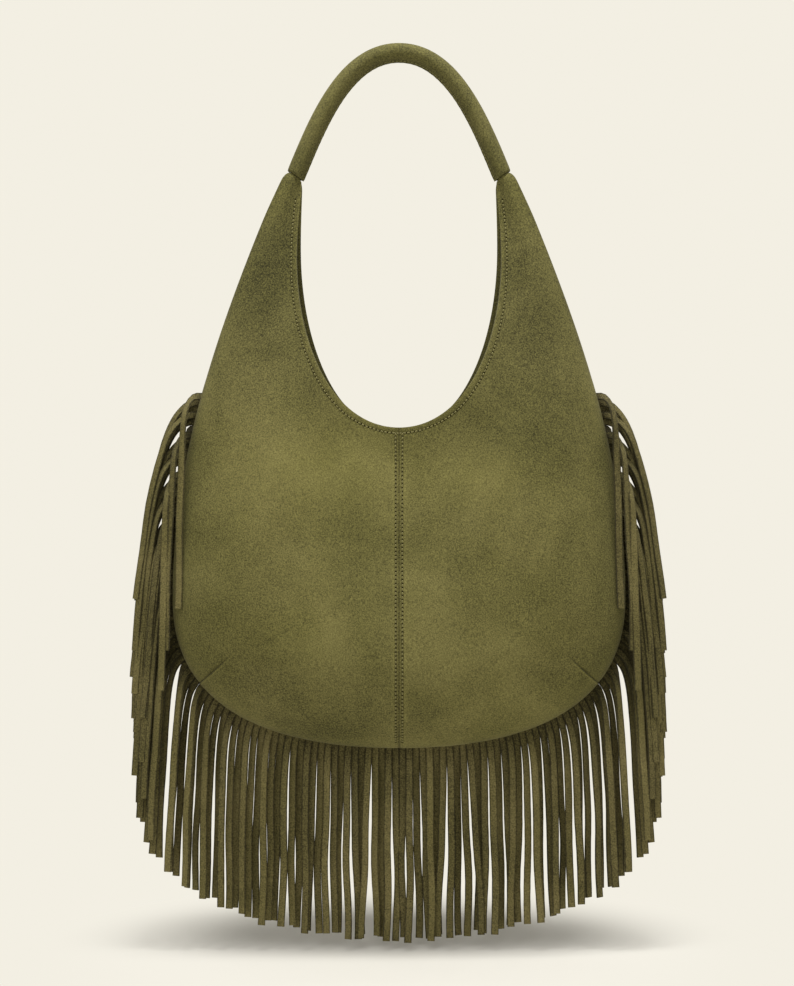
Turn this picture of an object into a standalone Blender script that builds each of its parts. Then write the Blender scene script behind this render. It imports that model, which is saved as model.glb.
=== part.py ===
"""A slouchy shoulder bag in suede, with a rolled handle and a slit-cut fringe round its seam.

Metres, +Z up, front towards -Y. The origin is the underside of the handle's crown, where the
bag hangs. Every outline is drawn for the +X half and mirrored for the other one.
"""
import math
import random

import bmesh
import bpy
import numpy as np

# Handle: a leather sleeve sewn round a core, with the sewn edge inside the arch
HANDLE_HALF_SPAN = 0.0832
HANDLE_RISE = 0.0988
HANDLE_CROWN_RUN = 0.044
HANDLE_LEG_RUN = 0.045
HANDLE_LEG_LEAN = 22.6
SLEEVE_RADIUS = 0.0072
SLEEVE_WALL = 0.0013
SLEEVE_END_SLANT = 10.8
SEAM_FIN = 0.0018
TAB_LENGTH = 0.015

# Outer seam of the body, from the handle's end round to the bottom
SEAM_HALF_WIDTH = 0.178
SEAM_WIDEST_DROP = 0.429
SEAM_BOTTOM_DROP = 0.5445
STRAP_HALF_WIDTH = 0.0072

# Neckline, which is the mouth of the bag
NECK_HALF_WIDTH = 0.0814
NECK_WIDEST_DROP = 0.155
NECK_BOTTOM_DROP = 0.2926
BACK_NECK_EASE = 0.0025

# Fullness of the body, front to back, measured from the middle plane
BELLY_HALF_DEPTH = 0.048
MOUTH_HALF_DEPTH = 0.034
BULGE_RADIUS = 0.080
STRAP_HALF_DEPTH = 0.0063

# Suede, lining and how they are sewn
SUEDE = 0.0018
FACING_SUEDE = 0.0012
LINING_CLOTH = 0.0006
CLEARANCE = 0.0003
SEAM_ALLOWANCE = 0.008
SEAM_LIP = 0.004
SEAM_OVERHANG = 0.0012
FACING_WIDTH = 0.030
CENTRE_GROOVE = 0.0006
DART_FROM_CENTRE = 0.170
DART_LENGTH = 0.030
DART_DEPTH = 0.0016

# Fringe: one strip of suede slit into strands, its header sewn into the seam
FRINGE_TOP_DROP = 0.2640
FRINGE_SUEDE = 0.0014
STRAND_PITCH = 0.0053
STRAND_WIDTH = 0.0050
STRAND_LENGTH = 0.158
STRAND_SIDE_EXTRA = 0.016
HEADER_INSIDE = 0.007
HEADER_OUTSIDE = 0.002
SHOULDER_BEND = 0.0185
SIDE_BEND = 0.012
OUTER_LANE_BEND = 0.007
STRAND_LEAN = 5.8
LEAN_FADE = 0.4
SHOULDER_LEAN_SHARE = 0.57
SHOULDER_SLOPE = 12.0
LANE_PITCH_BOTTOM = 0.0022
LANE_PITCH_SIDE = 0.0058
LANE_RUN = 0.030
OUTER_LANE_RUN = 0.020
DRAPE_DEPTH = 0.0275
DRAPE_LEAN = 3.0
DRAPE_ABOVE_SLOPE = 8.0
FIRST_ROW_LEAN = 2.8
HANGING_TWIST = 42.0

# Magnetic snap at the middle of the mouth
SNAP_RADIUS = 0.0085
SNAP_HEIGHT = 0.0028
SNAP_BOSS_RADIUS = 0.0035
SNAP_BOSS_HEIGHT = 0.0022
SNAP_BELOW_NECK = 0.015

# How finely curves and surfaces are divided
SPAN_STEPS = 240
NUDGE = 0.0005
ARCH_SECTIONS = 15
BORE_SIDES = 8
LANE_ORDER = (0, 2, 4, 1, 3, 5)
LANES = len(LANE_ORDER)
MIDDLE_LANE = (LANES - 1) / 2.0
STATIONS_PER_BEND = (0.5, 1.1, 2.3)
BOTTOM_STATION = 0.070
SEED = 11

SUEDE_COLOUR = (0.150, 0.135, 0.046)
FRINGE_COLOUR = (0.115, 0.098, 0.040)
LINING_COLOUR = (0.060, 0.055, 0.035)
METAL_COLOUR = (0.60, 0.50, 0.30)


def smooth(value):
    """Ease from 0 to 1 with level ends."""
    value = np.clip(value, 0.0, 1.0)
    return value * value * (3.0 - 2.0 * value)


def mix(low, high, share):
    return low + (high - low) * share


def cubic(start, pull_start, pull_end, end):
    """Points of one Bezier span in the X-Z plane."""
    t = np.linspace(0.0, 1.0, SPAN_STEPS)[:, None]
    s = 1.0 - t
    points = [np.asarray(p, dtype=float) for p in (start, pull_start, pull_end, end)]
    return s**3 * points[0] + 3 * s * s * t * points[1] + 3 * s * t * t * points[2] + t**3 * points[3]


class Track:
    """A plane curve of joined spans, read by the distance along it."""

    def __init__(self, *spans):
        joined = [spans[0]]
        for span in spans[1:]:
            joined.append(span[1:])
        self.points = np.vstack(joined)
        steps = np.linalg.norm(np.diff(self.points, axis=0), axis=1)
        self.run = np.concatenate([[0.0], np.cumsum(steps)])
        self.length = float(self.run[-1])

    def at(self, distance):
        x = np.interp(distance, self.run, self.points[:, 0])
        z = np.interp(distance, self.run, self.points[:, 1])
        return np.array([x, z])

    def along(self, distance):
        low = max(distance - NUDGE, 0.0)
        high = min(distance + NUDGE, self.length)
        step = self.at(high) - self.at(low)
        return step / np.linalg.norm(step)

    def outward(self, distance):
        direction = self.along(distance)
        return np.array([-direction[1], direction[0]])

    def distance_at_drop(self, drop):
        """Distance to the first point that lies this far below the origin."""
        index = int(np.argmax(self.points[:, 1] <= -drop))
        return float(self.run[index])


# The handle's centre line, from the crown to the end of one leg
LEG = math.radians(HANDLE_LEG_LEAN)
CROWN = np.array([0.0, SLEEVE_RADIUS + SEAM_FIN])
MOUTH = np.array([HANDLE_HALF_SPAN, CROWN[1] - HANDLE_RISE])
LEG_AXIS = np.array([math.sin(LEG), -math.cos(LEG)])
ARCH = Track(cubic(CROWN, CROWN + [HANDLE_CROWN_RUN, 0.0], MOUTH - HANDLE_LEG_RUN * LEG_AXIS, MOUTH))

# The slanted line across the sleeve's end, from which the strap starts
CUT = math.radians(HANDLE_LEG_LEAN + SLEEVE_END_SLANT)
CUT_LINE = np.array([math.cos(CUT), math.sin(CUT)])


def seam_track():
    """The sewn edge of the body: a long shoulder, the widest point, and a round base."""
    start = MOUTH + STRAP_HALF_WIDTH * CUT_LINE
    widest = np.array([SEAM_HALF_WIDTH, -SEAM_WIDEST_DROP])
    bottom = np.array([0.0, -SEAM_BOTTOM_DROP])
    reach = widest - start
    shoulder = cubic(start, start + reach * [0.74, 0.445], widest - [0.0, 0.29 * reach[1]], widest)
    fall = bottom - widest
    base = cubic(widest, widest + [0.0, 0.666 * fall[1]], bottom + [0.64 * SEAM_HALF_WIDTH, 0.0], bottom)
    return Track(shoulder, base)


def neck_track(ease):
    """The cut edge of the mouth, down one side of the strap and round to the middle."""
    start = MOUTH - STRAP_HALF_WIDTH * CUT_LINE
    widest = np.array([NECK_HALF_WIDTH - ease, -NECK_WIDEST_DROP])
    bottom = np.array([0.0, -NECK_BOTTOM_DROP])
    side = widest - start
    strap = cubic(start, start + side * [0.45, 0.3], widest - [0.0, 0.35 * side[1]], widest)
    fall = bottom - widest
    curve = cubic(widest, widest + [0.0, 0.55 * fall[1]], bottom + [0.61 * widest[0], 0.0], bottom)
    return Track(strap, curve)


SEAM = seam_track()
FRINGE_START = SEAM.distance_at_drop(FRINGE_TOP_DROP)
DART_AT = SEAM.length - DART_FROM_CENTRE


def seam_share(u):
    return 0.75 * u + 0.25 * u * u


def neck_share(u):
    return 1.6 * u - 0.6 * u * u


def station_of(distance):
    """The value of u whose cross line starts at this distance along the seam."""
    share = distance / SEAM.length
    return (math.sqrt(0.5625 + share) - 0.75) / 0.5


DART_U = station_of(DART_AT)
DART_HALF = 0.010
CENTRE_GROOVE_REACH = 0.012
STRAP_U = (0.009, 0.035, 0.075)
FACING_U = (0.12, 0.17, 0.22, 0.28, 0.34)
LINING_U = (0.40, 0.46, 0.52, 0.58, 0.64, 0.69)
BASE_U = (DART_U - DART_HALF, DART_U, DART_U + DART_HALF, 0.83, 0.87, 0.91, 0.955, 1.0)
STATIONS = STRAP_U + FACING_U + LINING_U + BASE_U
SURFACE_ROWS = 5
ROW_POWER = 2.4
RING_ANGLES = (13, 24, 36, 50, 66, 84, 104, 125, 146, 167)


class Half:
    """The front or back half of the body as a surface of u, along it, and d, in from the seam."""

    def __init__(self, face):
        self.face = face
        self.neck = neck_track(BACK_NECK_EASE if face > 0 else 0.0)

    def ends(self, u):
        distance = SEAM.length * seam_share(u)
        return SEAM.at(distance), SEAM.outward(distance), self.neck.at(self.neck.length * neck_share(u))

    def width(self, u):
        start, _, end = self.ends(u)
        return float(np.linalg.norm(end - start))

    def facing_width(self, u):
        return min(FACING_WIDTH, 0.45 * self.width(u))

    def lip(self, u):
        """Half the distance between the two panels where the seam holds them."""
        bare = CLEARANCE / 2 + SUEDE / 2
        sewn = FRINGE_SUEDE / 2 + CLEARANCE + SUEDE / 2
        before = SEAM.length * seam_share(u) - (FRINGE_START - SEAM_ALLOWANCE * 4)
        return mix(bare, sewn, float(smooth(before / (SEAM_ALLOWANCE * 3))))

    def depth(self, u, d):
        width = self.width(u)
        edge = self.lip(u) + SEAM_LIP
        belly = mix(STRAP_HALF_DEPTH, BELLY_HALF_DEPTH, float(smooth(u / 0.7)))
        mouth = mix(SUEDE / 2 + CLEARANCE, MOUTH_HALF_DEPTH, float(smooth(u / 0.62)))
        radius = min(BULGE_RADIUS, 0.6 * width)
        rise = math.sqrt(1.0 - (1.0 - min(d / radius, 1.0)) ** 2)
        full = mix(edge, belly, rise)
        towards_mouth = float(smooth((d / width - 0.35) / 0.65))
        depth = mix(full, mouth, towards_mouth)
        depth -= CENTRE_GROOVE * max(0.0, 1.0 - (1.0 - u) / CENTRE_GROOVE_REACH)
        from_dart = abs(u - DART_U) / DART_HALF
        if from_dart < 1.0 and d < DART_LENGTH:
            depth -= DART_DEPTH * (1.0 - from_dart) * (1.0 - d / DART_LENGTH)
        return depth

    def point(self, u, d):
        """A point of the surface's middle layer, as x, y, z."""
        start, outward, end = self.ends(u)
        width = np.linalg.norm(end - start)
        pull = start - 0.45 * width * outward
        t = d / width
        flat = (1 - t) ** 2 * start + 2 * t * (1 - t) * pull + t * t * end
        overhang = SEAM_OVERHANG * float(smooth(u / 0.1)) * max(0.0, 1.0 - d / 0.012)
        flat = flat + overhang * outward
        return np.array([flat[0], self.face * self.depth(u, d), flat[1]])

    def inside(self, u, d, inset):
        """The same point moved square to the surface, into the bag."""
        u_low, u_high = max(u - 0.004, 0.0), min(u + 0.004, 1.0)
        d_low, d_high = max(d - 0.001, 0.0), min(d + 0.001, self.width(u))
        along = self.point(u_high, d) - self.point(u_low, d)
        across = self.point(u, d_high) - self.point(u, d_low)
        normal = np.cross(along, across)
        normal /= np.linalg.norm(normal)
        if normal[1] * self.face > 0:
            normal = -normal
        return self.point(u, d) + inset * normal

    def rows(self, u):
        """Distances in from the seam of the rows that the panel, facing and lining share."""
        to_facing = self.width(u) - self.facing_width(u)
        shares = [(k / SURFACE_ROWS) ** ROW_POWER for k in range(SURFACE_ROWS + 1)]
        return [to_facing * share for share in shares] + [self.width(u)]


def hem_section(half, u):
    """One cross line of a panel: seam allowance, turned edge, belly and neckline."""
    start, outward, _ = half.ends(u)
    lip = half.lip(u)
    allowance = min(SEAM_ALLOWANCE, 0.35 * half.width(u))
    section = []
    for inward, depth in ((allowance, lip), (0.0012, lip), (-0.0004, lip + 0.0009)):
        flat = start - inward * outward
        section.append(np.array([flat[0], half.face * depth, flat[1]]))
    rows = half.rows(u)
    section.extend(half.point(u, d) for d in rows)
    return section


def tab_radius():
    """The tab's middle layer clears the flats of the sleeve's many-sided bore."""
    flats = (SLEEVE_RADIUS - SLEEVE_WALL) * math.cos(math.pi / BORE_SIDES)
    return flats - CLEARANCE - SUEDE / 2


def ring_section(face, centre, axis, outward, slant):
    """Half a ring of the tab, rolled round the handle's core."""
    radius = tab_radius()
    section = []
    for degrees in RING_ANGLES:
        angle = math.radians(degrees)
        out = radius * math.cos(angle)
        flat = centre + out * outward - out * math.tan(slant) * axis
        section.append(np.array([flat[0], face * radius * math.sin(angle), flat[1]]))
    return section


def material(name, colour, roughness, metallic=0.0):
    made = bpy.data.materials.new(name)
    made.use_nodes = True
    shader = made.node_tree.nodes["Principled BSDF"]
    shader.inputs["Base Color"].default_value = (*colour, 1.0)
    shader.inputs["Roughness"].default_value = roughness
    shader.inputs["Metallic"].default_value = metallic
    return made


def add_object(name, vertices, faces, finish):
    """A mesh object whose faces all point outwards."""
    mesh = bpy.data.meshes.new(name)
    mesh.from_pydata([tuple(v) for v in vertices], [], faces)
    work = bmesh.new()
    work.from_mesh(mesh)
    bmesh.ops.recalc_face_normals(work, faces=work.faces)
    work.to_mesh(mesh)
    work.free()
    mesh.materials.append(finish)
    mesh.shade_smooth()
    mesh.set_sharp_from_angle(angle=math.radians(40))
    made = bpy.data.objects.new(name, mesh)
    bpy.context.collection.objects.link(made)
    return made


def add_sheet(name, sections, thickness, finish, side=1):
    """A sheet of even thickness through rows of points, half of it on each side of them."""
    rows = len(sections[0])
    vertices = [(side * p[0], p[1], p[2]) for section in sections for p in section]
    faces = []
    for i in range(len(sections) - 1):
        for j in range(rows - 1):
            a = i * rows + j
            faces.append((a, a + 1, a + rows + 1, a + rows))
    made = add_object(name, vertices, faces, finish)
    shell = made.modifiers.new("thickness", "SOLIDIFY")
    shell.thickness = thickness
    shell.offset = 0.0
    shell.use_even_offset = True
    return made


def add_tube(name, loops, finish):
    """A solid through closed loops of points, with an end face on the first and last loop."""
    count = len(loops[0])
    vertices = [p for loop in loops for p in loop]
    faces = []
    for i in range(len(loops) - 1):
        for j in range(count):
            a = i * count + j
            b = i * count + (j + 1) % count
            faces.append((a, b, b + count, a + count))
    faces.append(tuple(range(count)))
    faces.append(tuple(len(vertices) - count + j for j in range(count)))
    return add_object(name, vertices, faces, finish)


def arch_frame(distance):
    """Centre, axis and outward direction at a signed distance along the handle from its crown."""
    sign = -1.0 if distance < 0 else 1.0
    centre = ARCH.at(abs(distance)) * [sign, 1.0]
    outward = ARCH.outward(abs(distance)) * [sign, 1.0]
    axis = np.array([outward[1], -outward[0]])
    return centre, axis, outward


def place(profile, centre, outward, shift, axis):
    """Lay a profile of (inward, sideways) points square to the handle, sheared by a slant."""
    loop = []
    for inward, sideways in profile:
        flat = centre - inward * outward + shift * inward * axis
        loop.append((flat[0], sideways, flat[1]))
    return loop


def arc_points(radius, first, last, count):
    return [(radius * math.cos(a), radius * math.sin(a)) for a in np.linspace(first, last, count)]


def sleeve_profile():
    """A C-shaped wall whose two lips stand inwards, sewn face to face."""
    bore = SLEEVE_RADIUS - SLEEVE_WALL
    gap = CLEARANCE / 2
    lip = gap + SLEEVE_WALL
    tip = SLEEVE_RADIUS + SEAM_FIN
    outer_start = math.asin(lip / SLEEVE_RADIUS)
    inner_start = math.asin(gap / bore)
    outer = arc_points(SLEEVE_RADIUS, outer_start, 2 * math.pi - outer_start, 10)
    inner = arc_points(bore, 2 * math.pi - inner_start, inner_start, BORE_SIDES + 1)
    return [(tip, gap), (tip, lip)] + outer + [(tip, -lip), (tip, -gap)] + inner


def make_handle(suede, core_cloth):
    """The sewn sleeve and the core inside it, whose thin ends pass into the tabs."""
    slant = math.tan(math.radians(SLEEVE_END_SLANT))
    neck = ARCH.length - TAB_LENGTH - CLEARANCE
    even_stops = np.linspace(-neck, neck, ARCH_SECTIONS)
    sleeve = []
    for distance in [-ARCH.length, *even_stops, ARCH.length]:
        centre, axis, outward = arch_frame(distance)
        at_end = abs(abs(distance) - ARCH.length) < NUDGE
        shift = math.copysign(slant, distance) if at_end else 0.0
        sleeve.append(place(sleeve_profile(), centre, outward, shift, axis))
    add_tube("handle_sleeve", sleeve, suede)

    bore = SLEEVE_RADIUS - SLEEVE_WALL
    thick = bore - CLEARANCE
    thin = tab_radius() - SUEDE / 2 - CLEARANCE
    stops = [(-ARCH.length, thin), (-neck, thin)]
    stops += [(d, thick) for d in even_stops]
    stops += [(neck, thin), (ARCH.length, thin)]
    core = []
    for distance, radius in stops:
        centre, axis, outward = arch_frame(distance)
        profile = arc_points(radius, 0.0, 2 * math.pi * (1 - 1 / BORE_SIDES), BORE_SIDES)
        core.append(place(profile, centre, outward, 0.0, axis))
    add_tube("handle_core", core, core_cloth)


def panel_sections(half):
    """Every cross line of one panel, from inside the handle's sleeve to the centre seam."""
    slant = math.radians(SLEEVE_END_SLANT)
    sections = []
    for distance in (ARCH.length - TAB_LENGTH, ARCH.length - TAB_LENGTH / 2):
        centre, axis, outward = arch_frame(distance)
        sections.append(ring_section(half.face, centre, axis, outward, 0.0))
    centre, axis, outward = arch_frame(ARCH.length)
    clear_of_sleeve = centre + 2 * CLEARANCE * axis
    sections.append(ring_section(half.face, clear_of_sleeve, axis, outward, slant))
    for u in STATIONS:
        section = hem_section(half, u)
        if u == STATIONS[0]:
            start, _, end = half.ends(u)
            across = (start - end) / np.linalg.norm(start - end)
            ring = ring_section(half.face, (start + end) / 2, axis, across, 0.0)
            section = [mix(r, s, 0.75) for r, s in zip(ring, section)]
        if u == STATIONS[-1]:
            section = [p + [CLEARANCE / 2, 0.0, 0.0] for p in section]
        sections.append(section)
    return sections


def mirrored(sections):
    """Both halves of a sheet that runs across the middle of the bag."""
    other = [[p * [-1.0, 1.0, 1.0] for p in section] for section in reversed(sections[:-1])]
    middle = [p * [0.0, 1.0, 1.0] for p in sections[-1]]
    return sections[:-1] + [middle] + other


def facing_sections(half):
    """The band of suede inside the mouth."""
    inset = SUEDE / 2 + CLEARANCE + FACING_SUEDE / 2
    sections = []
    for u in FACING_U + LINING_U + BASE_U:
        rows = half.rows(u)
        sections.append([half.inside(u, d, inset) for d in (rows[-2], rows[-1])])
    return mirrored(sections)


def lining_sections(half):
    """The cloth bag inside, from its own seam up to the facing."""
    inset = SUEDE / 2 + CLEARANCE + LINING_CLOTH / 2
    seam_y = half.face * (CLEARANCE / 2 + LINING_CLOTH / 2)
    sections = []
    for u in LINING_U + BASE_U:
        rows = half.rows(u)
        foot = half.point(u, SEAM_ALLOWANCE + 0.003)
        foot[1] = seam_y
        top = rows[-2] - 0.002
        upper = [half.inside(u, d, inset) for d in (rows[2], rows[4], top)]
        sections.append([foot] + upper)
    return mirrored(sections)


def strand_path(root, angle, lean, bend, length, step):
    """A strand that leaves the seam at one angle from straight down and settles at another."""
    count = int(round(length / step))
    x, z = root
    path = [(x, z)]
    for i in range(count):
        run = (i + 0.5) * step
        settled = lean * (1.0 - LEAN_FADE * run / length)
        now = settled + (angle - settled) * math.exp(-run / bend)
        x += math.sin(now) * step
        z -= math.cos(now) * step
        path.append((x, z))
    return np.array(path)


def strand_sections(distance, index, rng):
    """Corner points of one strand's cross-sections, from just below its root to its tip."""
    outward = SEAM.outward(distance)
    root = SEAM.at(distance) + HEADER_OUTSIDE * outward
    angle = math.atan2(outward[0], -outward[1])
    swing = min(max(math.sin(angle), 0.0), 1.0)
    on_shoulder = max(0.0, math.degrees(angle) - 90.0)
    lane = LANE_ORDER[index % LANES]
    outer_lane = lane in (0, LANES - 1)
    lane_pitch = mix(LANE_PITCH_BOTTOM, LANE_PITCH_SIDE, swing * swing)
    sway = rng.uniform(-1.0, 1.0)
    turn = rng.uniform(-1.0, 1.0)
    length = STRAND_LENGTH + STRAND_SIDE_EXTRA * swing**3 + rng.uniform(-0.002, 0.002)
    if outer_lane and on_shoulder > DRAPE_ABOVE_SLOPE:
        lean = DRAPE_LEAN
        depth = math.copysign(DRAPE_DEPTH, lane - MIDDLE_LANE)
    else:
        lean = SHOULDER_LEAN_SHARE * on_shoulder + STRAND_LEAN * swing**0.8
        depth = (lane - MIDDLE_LANE) * lane_pitch
        if index < LANES and on_shoulder > 0:
            lean += FIRST_ROW_LEAN
    lean = math.radians(lean + sway * mix(1.2, 0.3, swing))
    bend = mix(SIDE_BEND, SHOULDER_BEND, min(on_shoulder / SHOULDER_SLOPE, 1.0))
    lane_run = LANE_RUN
    if outer_lane and swing > 0.6:
        bend = OUTER_LANE_BEND
        lane_run = OUTER_LANE_RUN
    step = 0.001
    path = strand_path(root, angle, lean, bend, length, step)
    stations = [share * bend for share in STATIONS_PER_BEND] if swing > 0.6 else [BOTTOM_STATION]
    sections = []
    for run in stations + [length]:
        i = min(int(round(run / step)), len(path) - 1)
        low, high = max(i - 2, 0), min(i + 2, len(path) - 1)
        centre = np.array([path[i][0], depth * float(smooth(run / lane_run)), path[i][1]])
        rise = depth * float(smooth((high * step) / lane_run) - smooth((low * step) / lane_run))
        axis = np.array([path[high][0] - path[low][0], rise, path[high][1] - path[low][1]])
        axis /= np.linalg.norm(axis)
        flat_side = np.cross(axis, [0.0, 1.0, 0.0])
        flat_side /= np.linalg.norm(flat_side)
        deep_side = np.cross(flat_side, axis)
        edge_on = math.radians(90.0) * smooth(run / bend)
        hanging = math.radians(HANGING_TWIST + 6.0 * turn)
        side_twist = mix(edge_on, hanging, float(smooth((run - 0.02) / 0.05)))
        twist = side_twist * swing**0.7 + math.radians(24.0) * turn * (1 - swing) * run / length
        across = math.cos(twist) * flat_side + math.sin(twist) * deep_side
        through = np.cross(across, axis)
        half_width = across * STRAND_WIDTH / 2
        half_depth = through * FRINGE_SUEDE / 2
        sections.append([centre - half_width - half_depth, centre + half_width - half_depth,
                         centre + half_width + half_depth, centre - half_width + half_depth])
    return sections


def strand_faces(loop, corners):
    """Faces between two sections of a strand, cut so that opposite sides of a twist stay apart."""
    faces = []
    for k in range(4):
        n = (k + 1) % 4
        if k < 2:
            faces.append((loop[k], loop[n], corners[n]))
            faces.append((loop[k], corners[n], corners[k]))
        else:
            faces.append((loop[k], loop[n], corners[k]))
            faces.append((loop[n], corners[n], corners[k]))
    return faces


def fringe_bounds(first, last):
    """Even marks along the seam, a strand between each pair."""
    count = int(round((last - first) / STRAND_PITCH))
    return np.linspace(first + CLEARANCE / 2, last - CLEARANCE / 2, count + 1)


def make_fringe(name, first, last, side, seed, finish):
    """A header strip with a strand hanging from each step along it."""
    bounds = fringe_bounds(first, last)
    rng = random.Random(seed + int(first * 100))
    half = FRINGE_SUEDE / 2
    vertices = []
    faces = []
    for distance in bounds:
        point = SEAM.at(distance)
        outward = SEAM.outward(distance)
        for reach in (-HEADER_INSIDE, HEADER_OUTSIDE):
            flat = point + reach * outward
            vertices.append(np.array([flat[0], -half, flat[1]]))
            vertices.append(np.array([flat[0], half, flat[1]]))
    count = len(bounds) - 1
    for i in range(count):
        a, b = 4 * i, 4 * (i + 1)
        faces.append((a, b, b + 2, a + 2))
        faces.append((b + 1, a + 1, a + 3, b + 3))
        faces.append((b, a, a + 1, b + 1))
        loop = [a + 2, b + 2, b + 3, a + 3]
        for section in strand_sections((bounds[i] + bounds[i + 1]) / 2, i, rng):
            corners = list(range(len(vertices), len(vertices) + 4))
            start = np.array([vertices[k] for k in loop])
            section = [section[1], section[0], section[3], section[2]]
            vertices.extend(section)
            faces.extend(strand_faces(loop, corners))
            loop = corners
        faces.append(tuple(loop))
    end = 4 * count
    faces.append((0, 2, 3, 1))
    faces.append((end, end + 1, end + 3, end + 2))
    vertices = [v * [side, 1.0, 1.0] for v in vertices]
    return add_object(name, vertices, faces, finish)


def make_snap(name, face, stands_out, metal):
    """Half of the magnetic snap, a disc with a boss or a socket, seated on the facing."""
    half = Half(face)
    inset = SUEDE / 2 + 2 * CLEARANCE + FACING_SUEDE
    width = half.width(1.0)
    seat = half.inside(1.0, width - SNAP_BELOW_NECK, inset + CLEARANCE)
    upper = half.inside(1.0, width - SNAP_BELOW_NECK + 0.004, inset + CLEARANCE)
    rise = (upper - seat) * [0.0, 1.0, 1.0]
    rise /= np.linalg.norm(rise)
    across = np.array([1.0, 0.0, 0.0])
    inward = np.cross(across, rise)
    if inward[1] * face > 0:
        inward = -inward
    boss = SNAP_BOSS_HEIGHT if stands_out else -SNAP_BOSS_HEIGHT
    boss_radius = SNAP_BOSS_RADIUS if stands_out else SNAP_BOSS_RADIUS + CLEARANCE
    rings = [(SNAP_RADIUS, 0.0), (SNAP_RADIUS, SNAP_HEIGHT), (boss_radius, SNAP_HEIGHT),
             (boss_radius, SNAP_HEIGHT + boss)]
    loops = []
    seat[0] = 0.0
    for radius, height in rings:
        centre = seat + height * inward
        loops.append([centre + radius * (math.cos(a) * across + math.sin(a) * rise)
                      for a in np.linspace(0.0, 2 * math.pi, 12, endpoint=False)])
    return add_tube(name, loops, metal)


def main():
    for old in list(bpy.data.objects):
        bpy.data.objects.remove(old)
    suede = material("suede", SUEDE_COLOUR, 0.95)
    fringe_suede = material("fringe_suede", FRINGE_COLOUR, 0.95)
    cloth = material("lining_cloth", LINING_COLOUR, 0.9)
    metal = material("snap_metal", METAL_COLOUR, 0.35, 1.0)
    make_handle(suede, cloth)
    for place_name, face in (("front", -1), ("back", 1)):
        half = Half(face)
        sections = panel_sections(half)
        for side_name, side in (("left", -1), ("right", 1)):
            add_sheet(f"{place_name}_panel_{side_name}", sections, SUEDE, suede, side)
        add_sheet(f"{place_name}_facing", facing_sections(half), FACING_SUEDE, suede)
        add_sheet(f"{place_name}_lining", lining_sections(half), LINING_CLOTH, cloth)
    for side_name, side in (("left", -1), ("right", 1)):
        make_fringe(f"{side_name}_side_fringe", FRINGE_START, DART_AT, side, SEED, fringe_suede)
        own_seed = SEED + (1 if side > 0 else 0)
        make_fringe(f"bottom_{side_name}_fringe", DART_AT, SEAM.length, side, own_seed, fringe_suede)
    make_snap("snap_socket", -1, False, metal)
    make_snap("snap_stud", 1, True, metal)


main()
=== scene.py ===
"""Looks of a slouchy suede shoulder bag with a rolled handle and a slit-cut fringe.

Metres, +Z up, front towards -Y. The origin is the underside of the handle's crown. The body is
drawn for its +X half and mirrored for the other one, as the pieces in the frame are.
"""
import math
import random

import bmesh
import bpy
import numpy as np
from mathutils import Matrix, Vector, noise


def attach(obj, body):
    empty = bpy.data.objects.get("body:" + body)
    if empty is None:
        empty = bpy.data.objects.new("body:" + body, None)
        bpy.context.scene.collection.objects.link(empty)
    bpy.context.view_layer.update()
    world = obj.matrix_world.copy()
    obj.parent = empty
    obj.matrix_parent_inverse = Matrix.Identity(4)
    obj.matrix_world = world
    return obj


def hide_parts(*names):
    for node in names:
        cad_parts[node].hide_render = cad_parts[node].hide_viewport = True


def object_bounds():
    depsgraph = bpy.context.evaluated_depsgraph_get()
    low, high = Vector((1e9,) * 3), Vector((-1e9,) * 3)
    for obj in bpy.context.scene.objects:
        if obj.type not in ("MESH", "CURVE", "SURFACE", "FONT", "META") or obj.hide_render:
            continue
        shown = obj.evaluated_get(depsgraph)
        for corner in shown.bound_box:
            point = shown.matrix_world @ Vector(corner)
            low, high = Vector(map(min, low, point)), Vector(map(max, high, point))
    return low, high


bl_info = {
    "name": "Fringed suede bag",
    "version": (1, 0, 0),
    "blender": (4, 5, 0),
    "location": "3D View > Sidebar > Suede Bag",
    "description": "Makes the suede body, rolled handle, fringe, stitching and studio of a shoulder bag",
    "category": "Object",
}

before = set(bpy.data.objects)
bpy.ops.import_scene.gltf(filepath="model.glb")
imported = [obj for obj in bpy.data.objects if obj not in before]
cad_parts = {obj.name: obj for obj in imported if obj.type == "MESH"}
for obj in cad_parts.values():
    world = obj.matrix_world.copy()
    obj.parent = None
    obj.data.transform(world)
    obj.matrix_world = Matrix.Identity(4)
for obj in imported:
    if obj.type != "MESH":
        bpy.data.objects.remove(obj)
FRAME_LOW, FRAME_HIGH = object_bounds()
FLOOR_GAP = 0.002
FLOOR_HEIGHT = FRAME_LOW[2] - FLOOR_GAP

# Handle
HANDLE_HALF_SPAN = 0.0832
HANDLE_RISE = 0.0988
HANDLE_CROWN_RUN = 0.044
HANDLE_LEG_RUN = 0.045
HANDLE_LEG_LEAN = 22.6
SLEEVE_RADIUS = 0.0072
SLEEVE_WALL = 0.0013
SLEEVE_END_SLANT = 10.8
SLEEVE_SLICES = 34
SLEEVE_RINGS = 150
SLEEVE_SWELL = 0.010
SWELLS_PER_METRE = 38.0
END_FOLD = 0.0003
END_FOLD_REACH = 0.0012
SLANT_RUN = 0.012
SEAM_FIN = 0.0018
FIN_SHOWN = 0.0010
FIN_PINCH = 0.00006
PINCH_LENGTH = 0.0062
FIN_FROM_LIP = 0.16
LIP_SHAPE = ((0.0001, 0.55), (-0.0001, 0.9), (-0.0004, 1.0), (-0.0008, 0.94))
TAB_LENGTH = 0.015
TAB_ROWS = 7

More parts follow.
